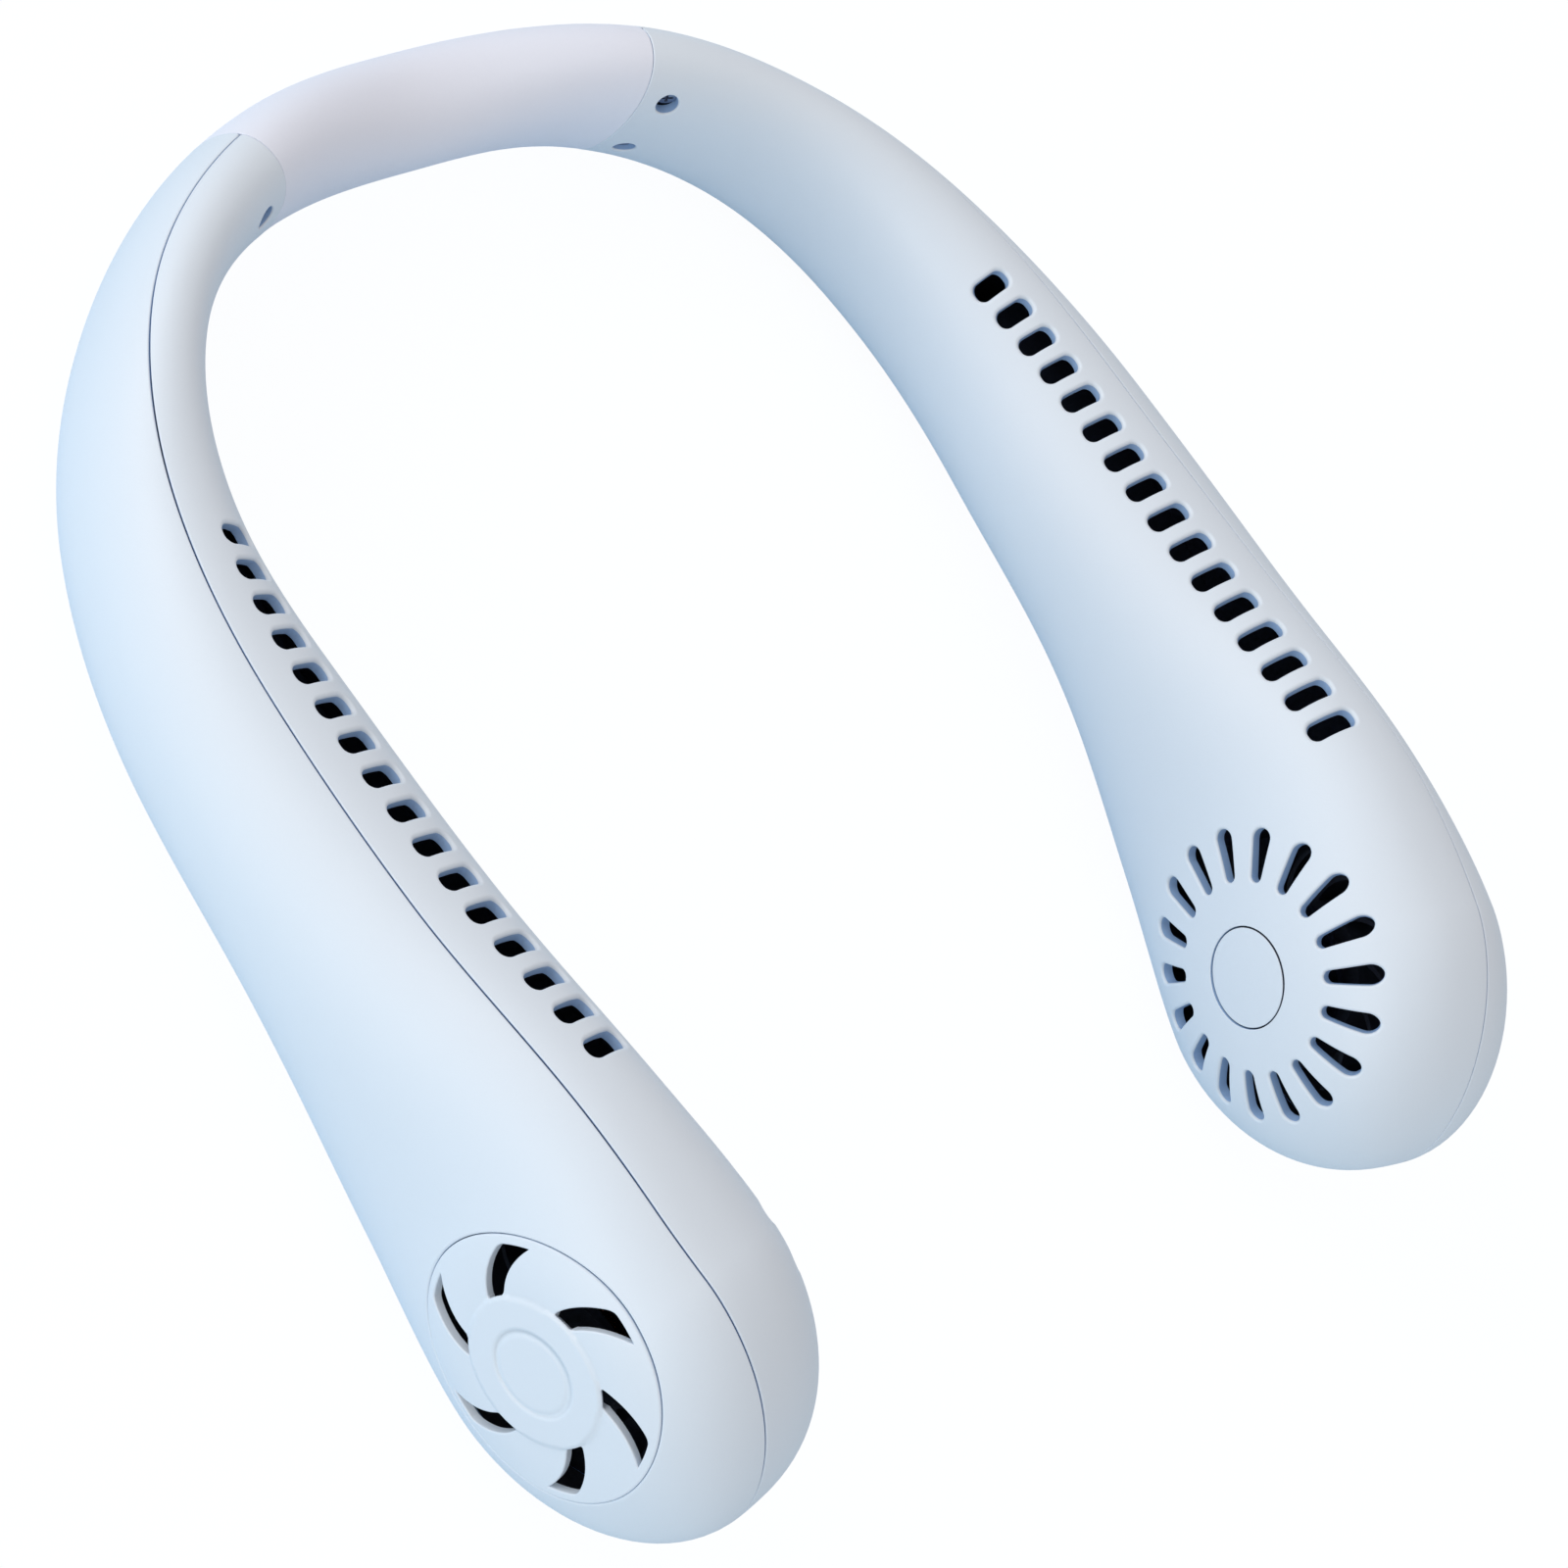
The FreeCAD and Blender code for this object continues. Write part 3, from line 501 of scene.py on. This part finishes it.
def slot_frames():
    """Middle, axes and height of the air slots."""
    frames = []
    for k in range(SLOT_COUNT):
        length = np.array([SLOT_FIRST - SLOT_PITCH * k])
        half, _, _, _, square = section(length)
        angle = np.arccos(-(SLOT_SIDE / half) ** (square / 2))
        middle = skin(length, angle)[0][0]
        along = unit(skin(length - 1, angle)[0][0] - skin(length + 1, angle)[0][0])
        across = unit(skin(length, angle - 0.03)[0][0] - skin(length, angle + 0.03)[0][0])
        out = unit(np.cross(along, across))
        out = out * np.sign(out[2])
        tall = SLOT_TALL + SLOT_GROWTH * k / (SLOT_COUNT - 1)
        frames.append((middle, np.stack([along, np.cross(out, along), out], 1), tall))
    return frames


def screw_frames():
    """Middle and direction of the two screw holes beside the band."""
    length = np.array([JOINT - SCREW_BACK])
    x, y, nx, ny = [v[0] for v in centre_line(length)]
    half, waist, above, below, square = [v[0] for v in section(length)]
    frames = []
    for rise in SCREW_RISES:
        side = half * (1 - abs(rise / (above if rise > 0 else below)) ** square) ** (1 / square)
        frames.append((np.array([x - side * nx, y - side * ny, waist + rise]), np.array([-nx, -ny, 0])))
    return frames


SLOTS, SCREWS = slot_frames(), screw_frames()
print("first slot at", SLOTS[0][0].round(1), "last at", SLOTS[-1][0].round(1))

# %% Field of one arm
COLUMNS, ROWS = 512, 384
STEP = (JOINT + 1 + TIP * math.pi / 2) / COLUMNS
FAR = 50
PARTING_GAP, PARTING_RIM, JOINT_RIM = 0.11, 0.22, 0.2
SEAT_R, SEAT_RIM = 19.7, 0.3
BAR_COUNT, BAR_TURN, BAR_RIM = 18, math.radians(10), 0.45
BAR_START, BAR_END, BAR_NARROW, BAR_WIDE = 14.3, 22.3, 1.0, 1.55
BUTTON_HOLE_R, BUTTON_HOLE_RIM = 7.75, 0.12
SLOT_WIDE, SLOT_CORNER, SLOT_DEPTH, SLOT_RIM = 3.2, 1.4, 6, 0.6
SCREW_HOLE_R, SCREW_DEPTH, SCREW_RIM = 1.75, 5, 0.3
PORT_LENGTH, PORT_WIDE, PORT_TALL, PORT_CORNER = 41.0, 9.5, 3.7, 1.77
PORT_BELOW, PORT_RIM = 12, 0.3
port_x, port_y, port_nx, port_ny = [v[0] for v in centre_line(np.array([PORT_LENGTH]))]


def arm_length(p):
    place = p * STEP - 1
    bend = np.clip((place - JOINT) / TIP, 0, math.pi / 2)
    return np.where(place < JOINT, JOINT - place, -TIP * np.sin(bend))


def arm_surface(p, q):
    return skin(arm_length(np.asarray(p, float)), np.asarray(q) * 2 * math.pi / ROWS)[0]


def arm_field(outer, port):
    """Field of the outer or the inner shell: least distance to an edge less its rim, and that rim."""
    def field(p, q):
        length = arm_length(np.asarray(p, float))
        angle = np.asarray(q) * 2 * math.pi / ROWS
        points, side = skin(length, angle)
        ahead, ahead_side = skin(length, angle + 0.01)
        tilt = np.abs(ahead_side - side) / np.maximum(np.linalg.norm(ahead - points, axis=-1), 1e-9)
        gap = (side - parting(length)) / np.maximum(tilt, 0.25)
        edges = [((gap if outer else -gap) - PARTING_GAP, PARTING_RIM), (JOINT - length, JOINT_RIM)]
        if outer:
            x, y, z = ((points - AXIS) @ COVER).T
            edges.append((np.where(z > 0, np.hypot(x, y) - SEAT_R, FAR), SEAT_RIM))
        else:
            edges += inner_edges(points, port)
        levels = np.stack([distance - radius for distance, radius in edges])
        which = np.argmin(levels, 0)
        return np.min(levels, 0), np.array([radius for _, radius in edges])[which]
    return field


def inner_edges(points, port):
    x, y, z = ((points - AXIS) @ POD).T
    radius = np.hypot(x, y)
    half_pitch = math.pi / BAR_COUNT
    turn = (np.arctan2(y, x) - BAR_TURN + half_pitch) % (2 * half_pitch) - half_pitch
    along, across = radius * np.cos(turn), radius * np.sin(turn)
    bar = tapered_bar(along, across, BAR_START, BAR_END, BAR_NARROW, BAR_WIDE)
    edges = [(np.where(z < 0, bar, FAR), BAR_RIM)]
    edges.append((np.where(z < 0, radius - BUTTON_HOLE_R, FAR), BUTTON_HOLE_RIM))
    nearest = np.full(len(points), float(FAR))
    for middle, axes, tall in SLOTS:
        a, b, c = ((points - middle) @ axes).T
        slot = rounded_box(a, b, SLOT_WIDE, tall, SLOT_CORNER)
        nearest = np.where(np.abs(c) < SLOT_DEPTH, np.minimum(nearest, slot), nearest)
    edges.append((nearest, SLOT_RIM))
    for middle, out in SCREWS:
        away = points - middle
        deep = away @ out
        hole = np.linalg.norm(away - deep[:, None] * out, axis=1) - SCREW_HOLE_R
        edges.append((np.where(deep > -SCREW_DEPTH, hole, FAR), SCREW_RIM))
    if port:
        away = points - np.array([port_x, port_y, 0])
        a, b = away @ np.array([-port_ny, port_nx, 0]), away @ np.array([port_nx, port_ny, 0])
        hole = rounded_box(a, b, PORT_WIDE, PORT_TALL, PORT_CORNER)
        edges.append((np.where(points[:, 2] < PORT_BELOW, hole, FAR), PORT_RIM))
    return edges


print("skin grid step %.2f mm" % STEP)


# %% [markdown]
# ## The shells
# Each arm is moulded as two half shells that meet in a fine line along the top and the bottom. They are
# made from the same skin with different fields: the outer one with the seat of the swirl cover, the inner
# one with slots, grille, button hole and screw holes. The left arm is the mirror image, without the
# charging port.

# %% Make a piece from a sheet
def make_piece(name, sheet, mirror, materials, body, nodes):
    points, faces, ways, kinds = sheet
    points, ways = points.copy() / 1000, ways.copy()
    if mirror:
        points[:, 0] *= -1
        ways[:, 0] *= -1
        ends = np.cumsum([len(face) for face in faces])
        order = [np.arange(end - 1, end - len(face) - 1, -1) for face, end in zip(faces, ends)]
        ways = ways[np.concatenate(order)]
        faces = [face[::-1] for face in faces]
    mesh = bpy.data.meshes.new(name)
    mesh.from_pydata(points, [], faces)
    for material in materials:
        mesh.materials.append(material)
    mesh.polygons.foreach_set("material_index", np.array(kinds, np.int32))
    mesh.polygons.foreach_set("use_smooth", np.ones(len(faces), bool))
    mesh.normals_split_custom_set(ways.tolist())
    piece = bpy.data.objects.new(name, mesh)
    bpy.context.scene.collection.objects.link(piece)
    if body:
        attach(piece, body)
    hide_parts(*nodes)
    print(name, len(points), "points", len(faces), "faces")
    return piece


inner_right = rolled_sheet(arm_surface, arm_field(False, True), COLUMNS, ROWS, WALL)
inner_left = rolled_sheet(arm_surface, arm_field(False, False), COLUMNS, ROWS, WALL)
outer_both = rolled_sheet(arm_surface, arm_field(True, False), COLUMNS, ROWS, WALL)
# Skin and rims take the shell plastic, walls of openings the darker blue painted shade.
shell_finish = [shell_blue, inside_painted_shade, wall_painted_shade]
# The inside faces of the shells take the dark navy painted shade.
for side, mirror, inner_sheet in (("right", False, inner_right), ("left", True, inner_left)):
    for part, sheet in (("inner", inner_sheet), ("outer", outer_both)):
        name, node = side + "_arm_" + part, side + "_" + part + "_shell"
        make_piece(name, sheet, mirror, shell_finish, "arm_" + side, [node])

# %% [markdown]
# ## The soft band
# A sleeve of soft silicone runs from arm to arm behind the neck. It has the arms' own section and is flush
# with them, so it looks like one form. It is one piece between the two arms.

# %% Band
BAND_GAP, BAND_INSET, BAND_RIM, BAND_THICK = 0.06, 0.04, 0.2, 2.6
BAND_COLUMNS, BAND_ROWS, BAND_FINE = 128, 192, 0.9
BAND_START = JOINT + BAND_GAP
BAND_STEP = (ARM - BAND_START + 1) * 2 / BAND_COLUMNS


def band_length(p):
    return BAND_START - 1 + np.asarray(p, float) * BAND_STEP


def band_surface(p, q):
    return skin(band_length(p), -np.asarray(q) * 2 * math.pi / BAND_ROWS, BAND_INSET)[0]


def band_field(p, q):
    length = band_length(p)
    distance = np.minimum(length - BAND_START, 2 * ARM - BAND_START - length)
    return distance - BAND_RIM, np.full(len(length), BAND_RIM)


band_sheet = rolled_sheet(band_surface, band_field, BAND_COLUMNS, BAND_ROWS, BAND_THICK, fine=BAND_FINE)
band_nodes = ["right_band_sleeve", "left_band_sleeve"]
band = make_piece("neckband", band_sheet, False, [band_grey] * 3, None, band_nodes)
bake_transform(band)

# %% [markdown]
# ## Swirl cover
# The outer side of a pod carries a round cover with six curved air openings, a raised hub and a shallow
# ring in it. The cover is a disc of revolution in its own frame; only its edge rises and falls with the
# skin around it.

# %% Cover surface
COVER_R, COVER_GRID_R, COVER_TOP, COVER_THICK, COVER_RIM = 19.62, 20.5, 16.75, 1.2, 0.3
COVER_COLUMNS, COVER_ROWS, COVER_FINE = 128, 384, 0.35
HUB_R, HUB_EDGE, HUB_RISE, HUB_CROWN = 11.1, 0.3, 0.35, 0.25
RING_R, RING_WIDE, RING_DEEP = 6.2, 0.3, 0.25
OPENING_IN, OPENING_LONG, OPENING_CORNER, OPENING_RIM = 11.4, 6.9, 0.35, 0.25
OPENING_FIRST, OPENING_LAST, OPENING_SWEEP, OPENING_BOW = 2, 18, 22, 1.2
OPENING_PITCH, OPENING_SLANT = 60, 0.86
edge_turns = np.arange(0, 361, 5)
edge_heights = heights(COVER_R, edge_turns, COVER, True)


def ease(at, low, high):
    t = np.clip((at - low) / (high - low), 0, 1)
    return t * t * (3 - 2 * t)


def cover_height(radius, turn):
    edge = np.interp(np.degrees(turn) % 360, edge_turns, edge_heights)
    climb = np.clip((COVER_R - radius) / (COVER_R - HUB_R), -0.1, 1)
    dome = edge + (COVER_TOP - edge) * (1 - (1 - climb) ** 2)
    hub = HUB_RISE * ease(radius, HUB_R + HUB_EDGE, HUB_R - HUB_EDGE)
    hub = hub + HUB_CROWN * np.clip(1 - (radius / HUB_R) ** 2, 0, 1)
    return dome + hub - RING_DEEP * np.exp(-((radius - RING_R) / RING_WIDE) ** 2)


def cover_grid(p, q):
    """Radius and turn of a point of the cover's grid."""
    return COVER_GRID_R * (1 - np.asarray(p, float) / COVER_COLUMNS), np.asarray(q) * 2 * math.pi / COVER_ROWS


def cover_surface(p, q):
    radius, turn = cover_grid(p, q)
    flat = np.stack([radius * np.cos(turn), radius * np.sin(turn), cover_height(radius, turn)], -1)
    return AXIS + flat @ COVER.T


def cover_field(p, q):
    radius, turn = cover_grid(p, q)
    share = np.clip((radius - OPENING_IN) / OPENING_LONG, -0.3, 1.3)
    bow = 4 * share * (1 - share)
    first = OPENING_FIRST + OPENING_SWEEP * share - OPENING_BOW * bow
    last = OPENING_LAST + OPENING_SWEEP * share - OPENING_BOW * bow
    half_pitch = OPENING_PITCH / 2
    away = (np.degrees(turn) - (first + last) / 2 + half_pitch) % OPENING_PITCH - half_pitch
    side = np.radians(away) * radius * OPENING_SLANT
    wide = np.radians(last - first) * radius * OPENING_SLANT
    middle = OPENING_IN + OPENING_LONG / 2
    opening = rounded_box(side, radius - middle, wide, OPENING_LONG, OPENING_CORNER) - OPENING_RIM
    edge = COVER_R - radius - COVER_RIM
    return np.minimum(edge, opening), np.where(edge < opening, COVER_RIM, OPENING_RIM)


cover_sheet = rolled_sheet(
    cover_surface, cover_field, COVER_COLUMNS, COVER_ROWS, COVER_THICK, fine=COVER_FINE
)
# The cover's underside takes the dark navy painted shade of the shells' inside.
cover_finish = [shell_blue, inside_painted_shade, shell_blue]
for side, mirror in (("right", False), ("left", True)):
    node = side + "_swirl_cover"
    make_piece(side + "_swirl", cover_sheet, mirror, cover_finish, "arm_" + side, [node])


# %% [markdown]
# ## Button and cap
# The disc in the middle of the inner grille is a push button on one arm and a fixed cap on the other. It is
# slightly crowned, like the skin around it, and its face stays bare.

# %% Disc
DISC_R, DISC_GRID_R, DISC_FACE, DISC_CROWN, DISC_RIM, DISC_THICK = 7.5, 8.0, 19.5, 140, 0.12, 2.2
DISC_COLUMNS, DISC_ROWS, DISC_COARSE, DISC_FINE = 64, 192, 8, 0.3


def disc_radius(p):
    return DISC_GRID_R * (1 - np.asarray(p, float) / DISC_COLUMNS)


def disc_surface(p, q):
    radius, turn = disc_radius(p), -np.asarray(q) * 2 * math.pi / DISC_ROWS
    level = radius ** 2 / DISC_CROWN - DISC_FACE
    flat = np.stack([radius * np.cos(turn), radius * np.sin(turn), level], -1)
    return AXIS + flat @ POD.T


def disc_field(p, q):
    radius = disc_radius(p)
    return DISC_R - radius - DISC_RIM, np.full(len(radius), DISC_RIM)


disc_sheet = rolled_sheet(
    disc_surface, disc_field, DISC_COLUMNS, DISC_ROWS, DISC_THICK, DISC_COARSE, DISC_FINE
)
# The disc's underside and its side wall take the dark navy painted shade.
disc_finish = [shell_blue, inside_painted_shade, inside_painted_shade]
make_piece("push_button", disc_sheet, False, disc_finish, "power_button", ["power_button"])
make_piece("left_cap", disc_sheet, True, disc_finish, "arm_left", ["left_disc_cap"])

# %% [markdown]
# ## Pieces inside
# The fan wheels, motors, cells and boards keep the shape that the frame brings, because little of them shows.
# They still get real finishes: brushed steel, wound copper, dark boards with their tracks and coated cell
# sleeves. The duct wall gets the dark navy of the shells' inside, which is painted shade.


# %% Metal and board finishes
def metal(name, light, dark, rough, scale):
    """Worked metal with fine streaks and a few darker spots."""
    spot, fill = finish(name)
    streak = noise(spot.node("ShaderNodeMapping", Vector=spot, Scale=(scale, scale, scale * 8)), 1, 4)
    tone = blend_colours(spot, streak * 0.8 + noise(spot, 300, 2) * 0.2, dark, light)
    return fill(
        Base_Color=tone, Metallic=1.0, Roughness=rough - 0.1 + 0.2 * streak,
        Normal=bump(spot, streak, 0.15, 0.00005),
    )


def wound(name):
    """Copper wire laid turn by turn on the stator's teeth."""
    spot, fill = finish(name)
    settings = {"bands_direction": "DIAGONAL"}
    turns = spot.node("ShaderNodeTexWave", settings, out=1, Vector=spot, Scale=900.0, Distortion=0.4)
    tone = blend_colours(spot, turns, rgb(92, 48, 22), rgb(196, 118, 64))
    return fill(
        Base_Color=tone, Metallic=0.8, Roughness=0.3 + 0.2 * turns, Normal=bump(spot, turns, 0.5, 0.0001),
    )


def board(name):
    """Solder mask over straight tracks."""
    spot, fill = finish(name)
    cell = spot.node("ShaderNodeTexVoronoi", {"distance": "MANHATTAN"}, Vector=spot, Scale=700.0)
    track = spot.node("ShaderNodeValToRGB", {"stops": [(0.28, (0, 0, 0, 1)), (0.34, (1, 1, 1, 1))]}, Fac=cell)
    tone = blend_colours(spot, track, rgb(40, 50, 70), rgb(20, 27, 42))
    return fill(
        Base_Color=tone, Roughness=0.35 + 0.1 * noise(spot, 200), Normal=bump(spot, track, 0.2, 0.00005),
    )


inside_finish = {
    "motor_bracket": dark_plastic,
    "impeller": dark_plastic,
    # The duct wall takes the dark navy painted shade of the shells' inside.
    "duct_wall": inside_painted_shade,
    "band_plug": dark_plastic,
    "motor_screws": metal("motor_screw_steel", rgb(190, 193, 200), rgb(128, 131, 140), 0.35, 900),
    "band_screws": metal("band_screw_steel", rgb(186, 196, 214), rgb(120, 130, 150), 0.35, 900),
    "shaft": metal("shaft_steel", rgb(205, 207, 212), rgb(160, 163, 170), 0.25, 1500),
    "charging_socket": metal("socket_steel", rgb(200, 203, 208), rgb(150, 153, 160), 0.3, 700),
    "bearing_bush": metal("bush_bronze", rgb(190, 150, 92), rgb(140, 104, 60), 0.45, 1200),
    "magnet_ring": metal("magnet_grey", rgb(84, 84, 88), rgb(52, 52, 56), 0.55, 1000),
    "band_core": metal("core_spring_steel", rgb(178, 182, 190), rgb(122, 126, 134), 0.35, 400),
    "stator": wound("stator_windings"),
    "battery_cell": moulded("cell_sleeve", rgb(70, 104, 158), rgb(56, 88, 140), 0.35, 0.2, 0.3),
    "switch_board": board("switch_board_mask"),
    "control_board": board("control_board_mask"),
    "band_wire": moulded("wire_jacket", rgb(40, 41, 44), rgb(28, 29, 32), 0.55, 0.4),
}
finished = 0
for name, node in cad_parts.items():
    material = inside_finish.get(name) or inside_finish.get(name.split("_", 1)[1])
    if material:
        node.data.materials.clear()
        node.data.materials.append(material)
        finished += 1
print("inner pieces finished:", finished)

# %% [markdown]
# ## Core and wire of the band
# A flat spring holds the band's curve, and a wire beside it feeds the second arm. Both run through the sleeve
# from plug to plug. Each is a strip with broken edges swept along the centre line.


# %% Strips along the band
PLUG_REACH, STRIP_ROWS, STRIP_EDGE = 14, 141, 0.15


def bent_strip(name, inner, outer, low, high, node):
    lengths = np.linspace(JOINT - PLUG_REACH, 2 * ARM - JOINT + PLUG_REACH, STRIP_ROWS)
    x, y, nx, ny = centre_line(lengths)
    edge = STRIP_EDGE
    sides = [inner + edge, outer - edge, outer, outer, outer - edge, inner + edge, inner, inner]
    levels = [low, low, low + edge, high - edge, high, high, high - edge, low + edge]
    points = [
        (x[k] + side * nx[k], y[k] + side * ny[k], level)
        for k in range(STRIP_ROWS) for side, level in zip(sides, levels)
    ]
    count = len(sides)
    faces = [
        [k * count + j, (k + 1) * count + j, (k + 1) * count + (j + 1) % count, k * count + (j + 1) % count]
        for k in range(STRIP_ROWS - 1) for j in range(count)
    ]
    faces += [list(range(count)), list(range(len(points) - count, len(points)))[::-1]]
    mesh = bpy.data.meshes.new(name)
    mesh.from_pydata(np.array(points) / 1000, [], faces)
    mesh.materials.append(inside_finish[node])
    strip = bpy.data.objects.new(name, mesh)
    bpy.context.scene.collection.objects.link(strip)
    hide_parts(node)
    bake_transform(strip)
    print(name, len(points), "points", len(faces), "faces")


bent_strip("spring_core", -0.4, 0.4, 12.2, 18.6, "band_core")
bent_strip("joining_wire", 1.0, 2.2, 13.4, 17.0, "band_wire")

# %% [markdown]
# ## Floor, light and camera
# A pale floor and large soft lamps give a plain studio light. The floor shows white to the camera and still
# takes the object's shadow. The camera stands to one side above the left pod and is rolled, as in the
# picture.

# %% Floor
FLOOR_HALF, FLOOR_DROP = 6, 0.0006
floor_mesh = bpy.data.meshes.new("floor")
floor_corners = [(a * FLOOR_HALF, b * FLOOR_HALF, 0) for a, b in ((-1, -1), (1, -1), (1, 1), (-1, 1))]
floor_mesh.from_pydata(floor_corners, [], [(0, 1, 2, 3)])
floor = bpy.data.objects.new("floor", floor_mesh)
floor.location.z = -FLOOR_DROP
bpy.context.scene.collection.objects.link(floor)
floor_white = bpy.data.materials.new("floor_white")
floor_white.use_nodes = True
tree = floor_white.node_tree
paper = tree.nodes["Principled BSDF"]
paper.inputs["Base Color"].default_value = (0.6, 0.8, 0.96, 1)
paper.inputs["Roughness"].default_value = 0.9
light_path = tree.nodes.new("ShaderNodeLightPath")
seen = Wire(light_path.outputs["Is Camera Ray"])
glow = seen.node("ShaderNodeEmission", Color=(1, 1, 1, 1), Strength=1.05)
mixed = seen.node("ShaderNodeMixShader", i0=seen * 0.9, i1=Wire(paper.outputs[0]), i2=glow)
tree.links.new(mixed.socket, tree.nodes["Material Output"].inputs["Surface"])
floor_mesh.materials.append(floor_white)

# %% Light
world = bpy.data.worlds.new("studio")
bpy.context.scene.world = world
world.use_nodes = True
sky = world.node_tree.nodes["Background"].inputs
sky["Color"].default_value = (1.0, 0.945, 0.92, 1)
sky["Strength"].default_value = 0.67


def lamp(name, place, aim, size, power, colour):
    light = bpy.data.lights.new(name, "AREA")
    light.shape, light.size, light.energy, light.color = "DISK", size, power, colour
    holder = bpy.data.objects.new(name, light)
    bpy.context.scene.collection.objects.link(holder)
    holder.location = place
    way = np.array(aim) - np.array(place)
    back = -way / np.linalg.norm(way)
    right = np.cross((0, 0.2, 1), back)
    right = right / np.linalg.norm(right)
    holder.rotation_euler = Matrix(np.stack([right, np.cross(back, right), back], 1).tolist()).to_euler()
    print(name, power, "W")


lamp("back_light", (-1.4, 2.4, 1.2), (0, 0, 0.02), 2.4, 35.0, (0.97, 0.95, 0.94))
lamp("side_light", (-2.8, -0.6, 0.8), (0, 0, 0.02), 2.0, 24.5, (0.88, 0.93, 0.92))

# %% Camera
camera_data = bpy.data.cameras.new("camera")
camera_data.lens, camera_data.sensor_width, camera_data.sensor_fit = 116.13, 36.0, "HORIZONTAL"
camera_data.clip_start, camera_data.clip_end = 0.05, 50
camera = bpy.data.objects.new("camera", camera_data)
bpy.context.scene.collection.objects.link(camera)
right, up, back = (0.71247, -0.44785, 0.5402), (0.28965, 0.8889, 0.35492), (-0.63913, -0.0964, 0.76303)
pose = np.eye(4)
pose[:3, 0], pose[:3, 1], pose[:3, 2] = right, up, back
pose[:3, 3] = (-0.4629, -0.08666, 0.5752)
camera.matrix_world = Matrix(pose.tolist())
bpy.context.scene.camera = camera
bpy.context.scene.view_settings.view_transform = "Standard"
print("camera", [round(v, 3) for v in camera.location])

# %% [markdown]
# ## End

# %% End
bpy.context.view_layer.update()
